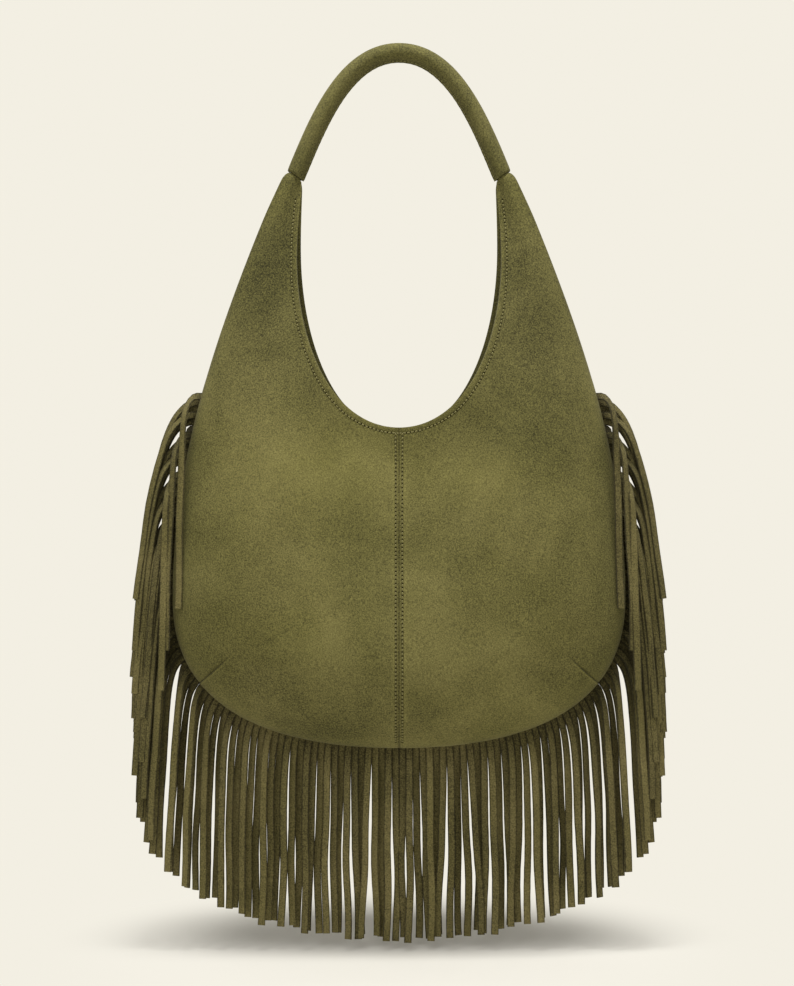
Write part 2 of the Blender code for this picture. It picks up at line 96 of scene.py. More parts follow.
# Outer seam of the body
SEAM_HALF_WIDTH = 0.178
SEAM_WIDEST_DROP = 0.429
SEAM_BOTTOM_DROP = 0.5445
STRAP_HALF_WIDTH = 0.0072
SHOULDER_PULL = (0.74, 0.445)
WIDEST_PULL = 0.29
BASE_DROP_PULL = 0.666
BASE_WIDTH_PULL = 0.64

# Neckline
NECK_HALF_WIDTH = 0.0814
NECK_WIDEST_DROP = 0.155
NECK_BOTTOM_DROP = 0.2926
BACK_NECK_EASE = 0.0025
NECK_STRAP_PULL = (0.45, 0.3)
NECK_WIDEST_PULL = 0.35
NECK_DROP_PULL = 0.55
NECK_WIDTH_PULL = 0.61

# Fullness of the body
BELLY_HALF_DEPTH = 0.048
MOUTH_HALF_DEPTH = 0.034
BULGE_RADIUS = 0.080
BULGE_SHARE = 0.6
STRAP_HALF_DEPTH = 0.0063
BELLY_FULL_AT = 0.7
MOUTH_FULL_AT = 0.62
MOUTH_FROM = 0.35
MOUTH_OVER = 0.65
CROSS_PULL = 0.45

# Suede, lining and how they are sewn
SUEDE = 0.0018
FACING_SUEDE = 0.0012
LINING_CLOTH = 0.0006
CLEARANCE = 0.0003
SEAM_ALLOWANCE = 0.008
ALLOWANCE_SHARE = 0.35
SEAM_LIP = 0.004
SEAM_OVERHANG = 0.0012
OVERHANG_REACH = 0.012
OVERHANG_OVER_U = 0.1
SEAM_TURN = 0.0012
SEAM_BITE = 0.0001
LIP_OPENS_BEFORE = 0.014
LIP_OPENS_OVER = 0.012
FACING_WIDTH = 0.030
FACING_SHARE = 0.45
FACING_FROM_U = 0.12
FACING_LINES = 110
FACING_ROWS = 12
LINING_FROM_U = 0.40
LINING_LINES = 90
LINING_ROWS = 26
LINING_POWER = 1.6
LINING_FOOT = 0.003
LINING_FOLD = 0.006
LINING_BELOW_FACING = 0.002
LINING_WEAVE = 0.0011
CORE_WEAVE = 0.0016
BRASS = (0.52, 0.40, 0.20)
PANEL_ROUNDING = 0.0005
FACING_ROUNDING = 0.0004
DART_FROM_CENTRE = 0.170
DART_LENGTH = 0.039
DART_HALF = 0.010
DART_DEPTH = 0.0016
DART_SINK = 0.0020
DART_FOLD = 0.0008
CENTRE_GROOVE = 0.0006
CENTRE_GROOVE_REACH = 0.012
CENTRE_VALLEY = 0.0011
CENTRE_VALLEY_HALF = 0.0011

# Fringe
FRINGE_TOP_DROP = 0.2640
FRINGE_SUEDE = 0.0014
STRAND_PITCH = 0.0053
STRAND_WIDTH = 0.00525
STRAND_LENGTH = 0.1535
STRAND_SIDE_EXTRA = 0.016
STRAND_LENGTH_SPREAD = 0.002
STRAND_STEP = 0.001
HEADER_INSIDE = 0.007
HEADER_OUTSIDE = 0.002
HEADER_LINES = 120
HEADER_ROWS = 6
SHOULDER_BEND = 0.0150
SIDE_BEND = 0.012
OUTER_LANE_BEND = 0.007
STRAND_LEAN = 5.8
LEAN_FADE = 0.65
SHOULDER_LEAN_SHARE = 0.52
SHOULDER_SLOPE = 12.0
LANE_PITCH_BOTTOM = 0.0022
LANE_PITCH_SIDE = 0.0058
LANE_RUN = 0.030
OUTER_LANE_RUN = 0.020
DRAPE_RUN = 0.036
DRAPE_LONGER = 0.007
DRAPE_DEPTH = 0.0275
DRAPE_LEAN = 3.0
DRAPE_ABOVE_SLOPE = 8.0
FIRST_ROW_LEAN = 2.8
FIRST_ROW_SHORTER = 0.008
SIDE_SWING = 0.6
BOTTOM_SWAY = 1.2
SIDE_SWAY = 0.3
HANGING_TWIST = 24.0
TWIST_SPREAD = 14.0
BOTTOM_TWIST = 20.0
FRONT_LANE_DEPTH = -0.008
FRONT_LANE_BEND = 0.012
FRONT_LANE_TWIST = 14.0
BEND_TWIST = 42.0
BEND_FROM = 0.003
HANG_FROM = 0.02
HANG_OVER = 0.05
ROOT_STEP = 0.00035
ROOT_FULLNESS = 1.10
ROOT_RUN = 0.055
STRAY_LEAN = 1.5
SIDE_STRAY = 0.25
FREE_FROM = 0.05
FREE_OVER = 0.06
STRAY_BOW = 0.0012
BOW_RATE = 42.0
CURL = 0.0007
CURL_RATE = 70.0
CLUMP = 0.0043
CLUMPS_PER_METRE = 62.0
CLUMP_FROM = 0.026
CLUMP_OVER = 0.10
SHADE_SPREAD = 0.75
CUT_NARROWER = 0.05
CUT_WIDER = 0.04
CUT_WOBBLE = 0.02
ROOT_SHADE = 0.9
SIDE_ROOT_SHADE = 2.2
ROOT_SHADE_STEPS = 8.0
FULLNESS = 1.10
LANE_ORDER = (0, 2, 4, 1, 3, 5)
LANES = len(LANE_ORDER)
MIDDLE_LANE = (LANES - 1) / 2.0
STRAND_SHARES = tuple(np.concatenate([np.arange(0.0, 0.25, 0.0158), np.linspace(0.25, 1.0, 17)]))
STRAND_RUNS = tuple(share * STRAND_LENGTH for share in STRAND_SHARES)
SEED = 11

# Stitching
NECK_STITCH_INSET = 0.004
CENTRE_STITCH_INSET = 0.0027
NECK_ROW_FROM_U = 0.045
NECK_ROW_TO_U = 0.998
NECK_ROW_POINTS = 170
CENTRE_ROW_FROM = 0.007
CENTRE_ROW_BELOW = 0.002
CENTRE_ROW_POINTS = 60
FIN_ROW_END = 0.004
FIN_ROW_POINTS = 90
FIN_ROW_RISE = 0.2
STITCH_GROOVE = 0.00042
STITCH_GROOVE_HALF = 0.0010
HOLE_RISE = 0.00022
THREAD_ARCH = 0.6
HANDLE_FINENESS = 0.6

# Soft shape of the sides: broad waves, the hollows beside the darts, puckers at the seam
BROAD_WAVE = 0.0019
BROAD_WAVES_PER_METRE = 8.5
BROAD_START = Vector((3.1, 0.0, 7.7))
SMALL_WAVE = 0.0006
SMALL_WAVES_PER_METRE = 24.0
SMALL_START = Vector((1.7, 5.0, 2.3))
FACE_APART = 0.31
WAVES_REACH = 0.030
WAVES_FROM_U = 0.06
WAVES_OVER_U = 0.25
HOLLOW_AT = (0.110, -0.487)
HOLLOW_RADIUS = 0.024
HOLLOW_DEPTH = 0.0028
PUCKER = 0.00028
PUCKER_LENGTH = 0.0125
PUCKER_REACH = 0.007
PUCKER_WANDER = 1.4
PUCKER_WANDERS_PER_METRE = 40.0
PUCKERS_START_OVER = 0.03

# Studio
FLOOR_HALF = 6.0
FLOOR_STRETCH = 1.35
FLOOR_FADE_FROM = 0.088
FLOOR_FADE_TO = 0.22
KEY_SIZE = (1.7, 1.3)
KEY_PLACE = (-0.35, -1.5, 0.95)
KEY_AIM = (0.0, 0.0, -0.30)
TOP_SIZE = (0.60, 0.22)
TOP_PLACE = (0.05, -0.26, 0.95)
TOP_AIM = (0.0, 0.0, -0.40)
CAMERA_PLACE = (-0.0016, -1.3, -0.3436)
CAMERA_LENS = 59.33
CAMERA_SENSOR = 36.0

# The two faces, as depth signs, and the two sides, as width signs
FACES = (("front", -1), ("back", 1))
SIDES = (("left", -1), ("right", 1))

SPAN_STEPS = 240
NUDGE = 0.0005


def smooth(value):
    """Ease from 0 to 1 with level ends."""
    value = min(max(value, 0.0), 1.0)
    return value * value * (3.0 - 2.0 * value)


def mix(low, high, share):
    return low + (high - low) * share


def near(value, at, reach):
    """1 where a value meets a place, falling softly to 0 over the reach to each side."""
    return math.exp(-(((value - at) / reach) ** 2))


def cubic(start, pull_start, pull_end, end):
    """Points of one Bezier span in the X-Z plane."""
    t = np.linspace(0.0, 1.0, SPAN_STEPS)[:, None]
    s = 1.0 - t
    points = [np.asarray(p, dtype=float) for p in (start, pull_start, pull_end, end)]
    return s**3 * points[0] + 3 * s * s * t * points[1] + 3 * s * t * t * points[2] + t**3 * points[3]


class Track:
    """A plane curve of joined spans, read by the distance along it."""

    def __init__(self, *spans):
        joined = [spans[0]]
        for span in spans[1:]:
            joined.append(span[1:])
        self.points = np.vstack(joined)
        steps = np.linalg.norm(np.diff(self.points, axis=0), axis=1)
        self.run = np.concatenate([[0.0], np.cumsum(steps)])
        self.length = float(self.run[-1])

    def at(self, distance):
        x = np.interp(distance, self.run, self.points[:, 0])
        z = np.interp(distance, self.run, self.points[:, 1])
        return np.array([x, z])

    def along(self, distance):
        low = max(distance - NUDGE, 0.0)
        high = min(distance + NUDGE, self.length)
        step = self.at(high) - self.at(low)
        return step / np.linalg.norm(step)

    def outward(self, distance):
        direction = self.along(distance)
        return np.array([-direction[1], direction[0]])

    def distance_at_drop(self, drop):
        """Distance to the first point that lies this far below the origin."""
        index = int(np.argmax(self.points[:, 1] <= -drop))
        return float(self.run[index])


LEG = math.radians(HANDLE_LEG_LEAN)
CROWN = np.array([0.0, SLEEVE_RADIUS + SEAM_FIN])
MOUTH = np.array([HANDLE_HALF_SPAN, CROWN[1] - HANDLE_RISE])
LEG_AXIS = np.array([math.sin(LEG), -math.cos(LEG)])
ARCH = Track(cubic(CROWN, CROWN + [HANDLE_CROWN_RUN, 0.0], MOUTH - HANDLE_LEG_RUN * LEG_AXIS, MOUTH))
CUT = math.radians(HANDLE_LEG_LEAN + SLEEVE_END_SLANT)
CUT_LINE = np.array([math.cos(CUT), math.sin(CUT)])


def seam_track():
    """The sewn edge of the body: a long shoulder, the widest point, and a round base."""
    start = MOUTH + STRAP_HALF_WIDTH * CUT_LINE
    widest = np.array([SEAM_HALF_WIDTH, -SEAM_WIDEST_DROP])
    bottom = np.array([0.0, -SEAM_BOTTOM_DROP])
    reach = widest - start
    shoulder = cubic(start, start + reach * SHOULDER_PULL, widest - [0.0, WIDEST_PULL * reach[1]], widest)
    fall = bottom - widest
    base_pulls = (widest + [0.0, BASE_DROP_PULL * fall[1]], bottom + [BASE_WIDTH_PULL * SEAM_HALF_WIDTH, 0.0])
    return Track(shoulder, cubic(widest, *base_pulls, bottom))


def neck_track(ease):
    """The cut edge of the mouth, down one side of the strap and round to the middle."""
    start = MOUTH - STRAP_HALF_WIDTH * CUT_LINE
    widest = np.array([NECK_HALF_WIDTH - ease, -NECK_WIDEST_DROP])
    bottom = np.array([0.0, -NECK_BOTTOM_DROP])
    side = widest - start
    strap = cubic(start, start + side * NECK_STRAP_PULL, widest - [0.0, NECK_WIDEST_PULL * side[1]], widest)
    fall = bottom - widest
    curve_pulls = (widest + [0.0, NECK_DROP_PULL * fall[1]], bottom + [NECK_WIDTH_PULL * widest[0], 0.0])
    return Track(strap, cubic(widest, *curve_pulls, bottom))


SEAM = seam_track()
FRINGE_START = SEAM.distance_at_drop(FRINGE_TOP_DROP)
DART_AT = SEAM.length - DART_FROM_CENTRE
SEAM_EVEN = 0.75
SEAM_GROWING = 0.25
NECK_EVEN = 1.6
NECK_SHRINKING = 0.6


def seam_share(u):
    """How far round the seam the cross line at u starts."""
    return SEAM_EVEN * u + SEAM_GROWING * u * u


def neck_share(u):
    """How far round the neckline the cross line at u ends."""
    return NECK_EVEN * u - NECK_SHRINKING * u * u


def station_of(distance):
    """The value of u whose cross line starts at this distance along the seam."""
    share = distance / SEAM.length
    return (math.sqrt(SEAM_EVEN**2 + 4 * SEAM_GROWING * share) - SEAM_EVEN) / (2 * SEAM_GROWING)


DART_U = station_of(DART_AT)
RING_ANGLES = (13, 24, 36, 50, 66, 84, 104, 125, 146, 167)
STRAP_BLEND_U = 0.035
STRAP_BLEND_POWER = 4.67

# Cross lines of the body, closest together at the strap's end, the dart and the centre seam
NEAR_DART = (0.0004, 0.0012, 0.0024, 0.004, 0.006, 0.0085, 0.012, 0.016, 0.021)
NEAR_CENTRE = (0.98, 0.984, 0.9875, 0.9905, 0.993, 0.995, 0.9965, 0.9976, 0.9985, 0.9993, 1.0)
STATIONS = np.unique(np.concatenate([
    np.linspace(0.005, STRAP_BLEND_U, 12),
    np.linspace(0.041, 0.125, 12),
    np.linspace(0.132, DART_U - 0.028, 96),
    [DART_U - step for step in NEAR_DART],
    [DART_U + step for step in NEAR_DART],
    np.linspace(DART_U + 0.027, 0.975, 34),
    NEAR_CENTRE,
]))

# Keys across a panel: the sewn allowance, the rolled edge, the belly and the mouth
ROLL_KEY = 1.0
BELLY_KEY = 3.0
MOUTH_KEY = 8.0
END_KEY = 9.0
ALLOWANCE_KEYS = (0.0, 0.5)
ROLL_KEYS = tuple(np.linspace(ROLL_KEY, BELLY_KEY, 9)[:-1])
BELLY_KEYS = tuple(np.linspace(BELLY_KEY, MOUTH_KEY, 55)[:-1])
BELLY_POWER = 1.9
MOUTH_SHARES = (1.0, 0.8, 0.63, 0.47, 0.34, 0.25, 0.2, 0.166, 0.147,
                0.133, 0.12, 0.1, 0.07, 0.045, 0.024, 0.01, 0.0)
MOUTH_KEYS = tuple(END_KEY - share for share in MOUTH_SHARES)
KEYS = ALLOWANCE_KEYS + ROLL_KEYS + BELLY_KEYS + MOUTH_KEYS


class Quarter:
    """A quarter of the body as a surface of u, along it, and d, in from the seam."""

    def __init__(self, face, side):
        self.face = face
        self.side = side
        self.neck = neck_track(BACK_NECK_EASE if face > 0 else 0.0)
        self.known = {}

    def ends(self, u):
        """Seam point, outward direction, neckline point and the width between them."""
        if u not in self.known:
            distance = SEAM.length * seam_share(u)
            start = SEAM.at(distance)
            end = self.neck.at(self.neck.length * neck_share(u))
            self.known[u] = (start, SEAM.outward(distance), end, float(np.linalg.norm(end - start)))
        return self.known[u]

    def width(self, u):
        return self.ends(u)[3]

    def facing_width(self, u):
        return min(FACING_WIDTH, FACING_SHARE * self.width(u))

    def lip(self, u):
        """Half the distance between the two panels where the seam holds them."""
        bare = SUEDE / 2 - SEAM_BITE
        sewn = FRINGE_SUEDE / 2 + CLEARANCE + SUEDE / 2
        before = SEAM.length * seam_share(u) - (FRINGE_START - LIP_OPENS_BEFORE)
        return mix(bare, sewn, smooth(before / LIP_OPENS_OVER))

    def overhang(self, u):
        """How far the turned edge stands out past the seam."""
        return SEAM_OVERHANG * smooth(u / OVERHANG_OVER_U)

    def smooth_depth(self, u, d):
        width = self.width(u)
        edge = self.lip(u) + SEAM_LIP
        belly = mix(STRAP_HALF_DEPTH, BELLY_HALF_DEPTH, smooth(u / BELLY_FULL_AT))
        mouth = mix(SUEDE / 2 + CLEARANCE, MOUTH_HALF_DEPTH, smooth(u / MOUTH_FULL_AT))
        radius = min(BULGE_RADIUS, BULGE_SHARE * width)
        rise = math.sqrt(1.0 - (1.0 - min(d / radius, 1.0)) ** 2)
        full = mix(edge, belly, rise)
        return mix(full, mouth, smooth((d / width - MOUTH_FROM) / MOUTH_OVER))

    def slouch(self, u, d, x, z):
        """Broad waves and hollows that soft suede takes, shared by panel, facing and lining."""
        spot = Vector((self.side * x, FACE_APART * self.face, z))
        broad = noise.noise(spot * BROAD_WAVES_PER_METRE + BROAD_START)
        small = noise.noise(spot * SMALL_WAVES_PER_METRE + SMALL_START)
        away = math.hypot(x - HOLLOW_AT[0], z - HOLLOW_AT[1]) / HOLLOW_RADIUS
        waves = BROAD_WAVE * broad + SMALL_WAVE * small
        hollow = HOLLOW_DEPTH * math.exp(-away * away)
        return (waves - hollow) * smooth(d / WAVES_REACH) * smooth((u - WAVES_FROM_U) / WAVES_OVER_U)

    def dart(self, u, d, folded):
        along = (u - DART_U) / DART_HALF
        reach = 1.0 - d / DART_LENGTH
        if abs(along) >= 1.0 or reach <= 0.0:
            return 0.0
        if not folded:
            return -DART_DEPTH * (1.0 - abs(along)) * reach
        if along < 0.0:
            return -DART_SINK * (1.0 + along) ** 2 * min(1.0, 2.0 * reach)
        return DART_FOLD * (1.0 - along) ** 2 * min(1.0, 3.0 * reach)

    def sewing(self, u, d, x):
        """Grooves under the stitches, the centre seam's valley and the puckers along the fringe."""
        from_neck = (self.width(u) - d - NECK_STITCH_INSET) / STITCH_GROOVE_HALF
        from_centre = (x - CENTRE_STITCH_INSET) / STITCH_GROOVE_HALF
        dip = STITCH_GROOVE * math.exp(-from_neck * from_neck)
        dip += STITCH_GROOVE * math.exp(-from_centre * from_centre)
        dip += CENTRE_VALLEY * math.exp(-((x / CENTRE_VALLEY_HALF) ** 2))
        distance = SEAM.length * seam_share(u)
        spot = Vector((distance * PUCKER_WANDERS_PER_METRE, self.side, self.face))
        beat = distance / PUCKER_LENGTH + PUCKER_WANDER * noise.noise(spot)
        gathered = smooth((distance - FRINGE_START) / PUCKERS_START_OVER)
        pull = PUCKER * gathered * math.sin(2 * math.pi * beat) * math.exp(-d / PUCKER_REACH)
        return pull - dip

    def point(self, u, d, sewn=True):
        """A point of the surface's middle layer, as x, y, z."""
        start, outward, end, width = self.ends(u)
        pull = start - CROSS_PULL * width * outward
        t = d / width
        flat = (1 - t) ** 2 * start + 2 * t * (1 - t) * pull + t * t * end
        flat = flat + self.overhang(u) * max(0.0, 1.0 - d / OVERHANG_REACH) * outward
        x, z = flat
        depth = self.smooth_depth(u, d) + self.slouch(u, d, x, z) + self.dart(u, d, sewn)
        if sewn:
            depth += self.sewing(u, d, x)
        else:
            depth -= CENTRE_GROOVE * max(0.0, 1.0 - (1.0 - u) / CENTRE_GROOVE_REACH)
        return np.array([x, self.face * depth, z])

    def normal(self, u, d):
        """The direction square to the unsewn surface that points out of the bag."""
        u_low, u_high = max(u - 0.004, 0.0), min(u + 0.004, 1.0)
        d_low, d_high = max(d - 0.001, 0.0), min(d + 0.001, self.width(u))
        along = self.point(u_high, d, False) - self.point(u_low, d, False)
        across = self.point(u, d_high, False) - self.point(u, d_low, False)
        square = np.cross(along, across)
        square /= np.linalg.norm(square)
        return square if square[1] * self.face > 0 else -square

    def inside(self, u, d, inset):
        """A point of a layer that lies inside the suede."""
        return self.point(u, d, False) - inset * self.normal(u, d)

    def on_top(self, u, d, rise):
        """A point on the outer face of the suede, such as a stitch lies on."""
        return self.point(u, d) + (SUEDE / 2 + rise) * self.normal(u, d)


def mirrored(side, point):
    return (side * point[0], point[1], point[2])


def tab_radius():
    """The tab's middle layer clears the flats of the sleeve's bore."""
    flats = (SLEEVE_RADIUS - SLEEVE_WALL) * math.cos(math.pi / 8)
    return flats - CLEARANCE - SUEDE / 2


def arch_frame(distance):
    """Centre, axis and outward direction at a signed distance along the handle from its crown."""
    sign = -1.0 if distance < 0 else 1.0
    centre = ARCH.at(abs(distance)) * [sign, 1.0]
    outward = ARCH.outward(abs(distance)) * [sign, 1.0]
    axis = np.array([outward[1], -outward[0]])
    return centre, axis, outward


def ring_point(face, key, centre, axis, outward, slant):
    """A point of the tab where it is rolled round the handle's core."""
    angle = math.radians(np.interp(key, range(len(RING_ANGLES)), RING_ANGLES))
    radius = tab_radius()
    out = radius * math.cos(angle)
    flat = centre + out * outward - out * math.tan(slant) * axis
    return np.array([flat[0], face * radius * math.sin(angle), flat[1]])


def reach_in(quarter, u, key):
    """Distance in from the seam at a key on the belly or the mouth."""
    width = quarter.width(u)
    mouth = quarter.facing_width(u)
    if key >= MOUTH_KEY:
        return width - mouth * (END_KEY - key)
    return (width - mouth) * max(0.0, (key - BELLY_KEY) / (MOUTH_KEY - BELLY_KEY)) ** BELLY_POWER


def body_point(quarter, u, key):
    """A point of a panel: its sewn allowance, rolled edge, belly or mouth, by the key across it."""
    if key >= BELLY_KEY:
        return quarter.point(u, reach_in(quarter, u, key))
    start, outward, _, width = quarter.ends(u)
    lip = quarter.lip(u)
    if key < ROLL_KEY:
        inward = mix(min(SEAM_ALLOWANCE, ALLOWANCE_SHARE * width), SEAM_TURN, key)
        flat = start - inward * outward
        return np.array([flat[0], quarter.face * lip, flat[1]])
    turned = quarter.point(u, 0.0)
    t = (key - ROLL_KEY) / (BELLY_KEY - ROLL_KEY)
    low = start - SEAM_TURN * outward
    corner = start + quarter.overhang(u) * outward
    flat = (1 - t) ** 2 * low + 2 * t * (1 - t) * corner + t * t * turned[[0, 2]]
    depth = mix(lip, abs(turned[1]), t * t)
    return np.array([flat[0], quarter.face * depth, flat[1]])


def panel_sections(quarter):
    """Every cross line of one panel, from the end of its tab to the centre seam."""
    slant = math.radians(SLEEVE_END_SLANT)
    sections = []
    for distance in np.linspace(ARCH.length - TAB_LENGTH, ARCH.length - 0.002, TAB_ROWS):
        centre, axis, outward = arch_frame(distance)
        tilt = slant * smooth((distance - ARCH.length + TAB_LENGTH) / TAB_LENGTH)
        sections.append([ring_point(quarter.face, key, centre, axis, outward, tilt) for key in KEYS])
    centre, axis, outward = arch_frame(ARCH.length)
    clear_of_sleeve = centre + 2 * CLEARANCE * axis
    sections.append([ring_point(quarter.face, key, clear_of_sleeve, axis, outward, slant) for key in KEYS])
    for u in STATIONS:
        section = [body_point(quarter, u, key) for key in KEYS]
        if u < STRAP_BLEND_U:
            share = 1.0 - (1.0 - u / STRAP_BLEND_U) ** STRAP_BLEND_POWER
            start, _, end, _ = quarter.ends(u)
            across = (start - end) / np.linalg.norm(start - end)
            middle = (start + end) / 2
            rings = [ring_point(quarter.face, key, middle, axis, across, 0.0) for key in KEYS]
            section = [mix(r, s, share) for r, s in zip(rings, section)]
        if u == STATIONS[-1]:
            section = [p + [CLEARANCE / 2, 0.0, 0.0] for p in section]
        sections.append(section)
    return sections


def panel_wear_and_painted_light(quarter):
    """Painted light and shade in the suede's colour, with some wear: the mouth edge lighter from rubbing and
    as a painted highlight, painted highlights on the rolled edge, the dart's fold and beside the centre seam,
    and painted shade at the seam, in the dart and in the centre seam.
    """
    tone = [0.0] * ((TAB_ROWS + 1) * len(KEYS))
    for u in STATIONS:
        for key in KEYS:
            d = reach_in(quarter, u, key)
            # Rubbed wear along the folded mouth edge, and a painted highlight on that fold.
            rubbed = 0.85 * near(quarter.width(u) - d, 0.0, 0.0014)
            # Painted highlight on the rolled edge, where the panel curves away from the light.
            rolled = 0.55 * near(d, 0.005, 0.006)
            # Painted shade in the seam where the panel tucks in.
            seam_painted_shade = -0.35 * near(d, 0.0, 0.0012) if key < 5.0 else 0.0
            along = (u - DART_U) / DART_HALF
            in_dart = min(1.0, 4.0 * max(0.0, 1.0 - d / DART_LENGTH))
            # Painted highlight along the dart's fold.
            folded = 1.7 * near(along, 0.12, 0.07) * in_dart
            # Painted shadow beside the dart's fold.
            shaded = -3.6 * near(along, -0.03, 0.08) * in_dart
            x = abs(quarter.point(u, d)[0]) if u > 0.97 and key >= BELLY_KEY else 1.0
            # Painted shade in the centre seam's valley, and a painted highlight on the ridge beside it.
            centre_seam_painted_light_and_shade = -2.6 * near(x, 0.0, 0.0010) + 0.8 * near(x, 0.0044, 0.0012)
            tone.append(rubbed + rolled + seam_painted_shade + folded + shaded + centre_seam_painted_light_and_shade)
    return tone


# Meshes


def add_object(name, vertices, faces, finish, edges=()):
    """A mesh object whose faces all point outwards."""
    mesh = bpy.data.meshes.new(name)
    mesh.from_pydata([tuple(v) for v in vertices], edges, faces)
    work = bmesh.new()
    work.from_mesh(mesh)
    bmesh.ops.recalc_face_normals(work, faces=work.faces)
    work.to_mesh(mesh)
    work.free()
    if finish:
        mesh.materials.append(finish)
    mesh.shade_smooth()
    made = bpy.data.objects.new(name, mesh)
    bpy.context.scene.collection.objects.link(made)
    return made


def set_values(piece, name, values, kind="FLOAT"):
    """Keep one number or vector for each vertex, for a material or a node tree to read."""
    layer = piece.data.attributes.new(name, kind, "POINT")
    flat = np.asarray(values, dtype=float).ravel()
    layer.data.foreach_set("value" if kind == "FLOAT" else "vector", flat)


def make_plain(piece):
    """Give a piece the mesh that its modifiers make, and take them off."""
    depsgraph = bpy.context.evaluated_depsgraph_get()
    shown = piece.evaluated_get(depsgraph)
    mesh = bpy.data.meshes.new_from_object(shown, preserve_all_data_layers=True, depsgraph=depsgraph)
    piece.modifiers.clear()
    piece.data = mesh
    mesh.name = piece.name
    return piece


def grid_faces(sections, rows, closed=False):
    faces = []
    last = rows if closed else rows - 1
    for i in range(sections - 1):
        for j in range(last):
            a = i * rows + j
            b = i * rows + (j + 1) % rows
            faces.append((a, b, b + rows, a + rows))
    return faces


def add_sheet(name, sections, thickness, finish, tone=None, rounding=0.0):
    """A sheet of even thickness through rows of points, with its cut edges rounded."""
    rows = len(sections[0])
    vertices = [p for section in sections for p in section]
    piece = add_object(name, vertices, grid_faces(len(sections), rows), finish)
    set_values(piece, "tone", tone if tone is not None else [0.0] * len(vertices))
    shell = piece.modifiers.new("thickness", "SOLIDIFY")
    shell.thickness = thickness
    shell.offset = 0.0
    if rounding:
        edge = piece.modifiers.new("rounding", "BEVEL")
        edge.width = rounding
        edge.segments = 2
        edge.limit_method = "ANGLE"
        edge.angle_limit = math.radians(60)
    return make_plain(piece)


def finish_piece(piece, slot, *nodes):
    """Tie a finished piece to the frame's root body, and hide the nodes that it stands for."""
    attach(piece, "root")
    if nodes:
        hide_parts(*nodes)


# Shader and geometry node trees


class Link:
    """A node's output whose arithmetic adds Math nodes to its tree."""

    def __init__(self, tree, socket):
        self.tree = tree
        self.socket = socket

    def __add__(self, other):
        return self.tree.maths("ADD", self, other)

    def __radd__(self, other):
        return self.tree.maths("ADD", other, self)

    def __sub__(self, other):
        return self.tree.maths("SUBTRACT", self, other)

    def __rsub__(self, other):
        return self.tree.maths("SUBTRACT", other, self)

    def __mul__(self, other):
        return self.tree.maths("MULTIPLY", self, other)

    def __rmul__(self, other):
        return self.tree.maths("MULTIPLY", other, self)

    def __truediv__(self, other):
        return self.tree.maths("DIVIDE", self, other)

    def __pow__(self, other):
        return self.tree.maths("POWER", self, other)


class Tree:
    """A node tree whose nodes are made with their settings and sockets in one call."""

    def __init__(self, nodes):
        self.nodes = nodes

    def node(self, kind, settings=None, sockets=None, output=0):
        """Make a node, set it up, fill or join its sockets, and give back one of its outputs."""
        made = self.nodes.nodes.new(kind)
        for name, value in (settings or {}).items():
            if name == "stops":
                self.set_stops(made.color_ramp, value)
            else:
                setattr(made, name, value)
        for name, value in (sockets or {}).items():
            if isinstance(value, Link):
                self.nodes.links.new(value.socket, made.inputs[name])
            else:
                made.inputs[name].default_value = value
        if not made.outputs:
            return made
        return Link(self, made.outputs[output])

    def set_stops(self, ramp, stops):
        while len(ramp.elements) < len(stops):
            ramp.elements.new(0.5)
        for element, (position, value) in zip(ramp.elements, stops):
            element.position = position
            element.color = (value, value, value, 1.0)

    def maths(self, operation, *values):
        return self.node("ShaderNodeMath", {"operation": operation}, dict(enumerate(values)))

    def place(self):
        return self.node("ShaderNodeTexCoord", None, None, "Object")

    def axes(self, place):
        """The X, Y and Z of a vector."""
        apart = self.node("ShaderNodeSeparateXYZ", None, {"Vector": place}).socket.node
        return [Link(self, output) for output in apart.outputs]

    def kept(self, name, kind):
        """The number or vector that the points of a line carry under this name."""
        return self.node("GeometryNodeInputNamedAttribute", {"data_type": kind}, {"Name": name})

    def bump(self, height, strength, distance):
        return self.node("ShaderNodeBump", None,
                         {"Height": height, "Strength": strength, "Distance": distance})

    def noise(self, place, per_metre, detail=2.0, roughness=0.5, distortion=0.0):
        sockets = {"Vector": place, "Scale": per_metre, "Detail": detail, "Roughness": roughness,
                   "Distortion": distortion}
        return self.node("ShaderNodeTexNoise", None, sockets)

    def stretched(self, place, scale, turn=(0.0, 0.0, 0.0)):
        return self.node("ShaderNodeMapping", None, {"Vector": place, "Scale": scale, "Rotation": turn})

    def blend(self, low, high, share):
        """A colour between two, by a share from 0 to 1."""
        return self.node("ShaderNodeMix", {"data_type": "RGBA"}, {0: share, 6: low, 7: high}, 2)

    def brighten(self, colour, by):
        if not isinstance(colour, Link):
            colour = tuple(colour)[:3]
        return self.node("ShaderNodeVectorMath", {"operation": "SCALE"}, {0: colour, "Scale": by})

    def clamp(self, value, low=0.0, high=1.0):
        return self.node("ShaderNodeClamp", None, {"Value": value, "Min": low, "Max": high})


def new_material(name):
    """An empty material, as a tree to fill, and its output node."""
    made = bpy.data.materials.new(name)
    made.use_nodes = True
    made.node_tree.nodes.clear()
    tree = Tree(made.node_tree)
    end = tree.node("ShaderNodeOutputMaterial")
    return made, tree, end


def join_surface(tree, end, surface):
    tree.nodes.links.new(surface.socket, end.inputs["Surface"])


def join_principled(tree, end, sockets):
    join_surface(tree, end, tree.node("ShaderNodeBsdfPrincipled", None, sockets))


def opaque(colour):
    return (colour[0], colour[1], colour[2], 1.0)


# The handle is a darker suede, and the facings are darkened as painted shade inside the mouth
SUEDE_SHADE = {"handle_nap": 0.80, "facing_painted_shade_nap": 0.68}

WORN_TINT = (1.10, 1.08, 1.22)
SHEEN_TINT = (0.86, 0.80, 0.58, 1.0)
DARKEST = 0.22
LIGHTEST = 2.5
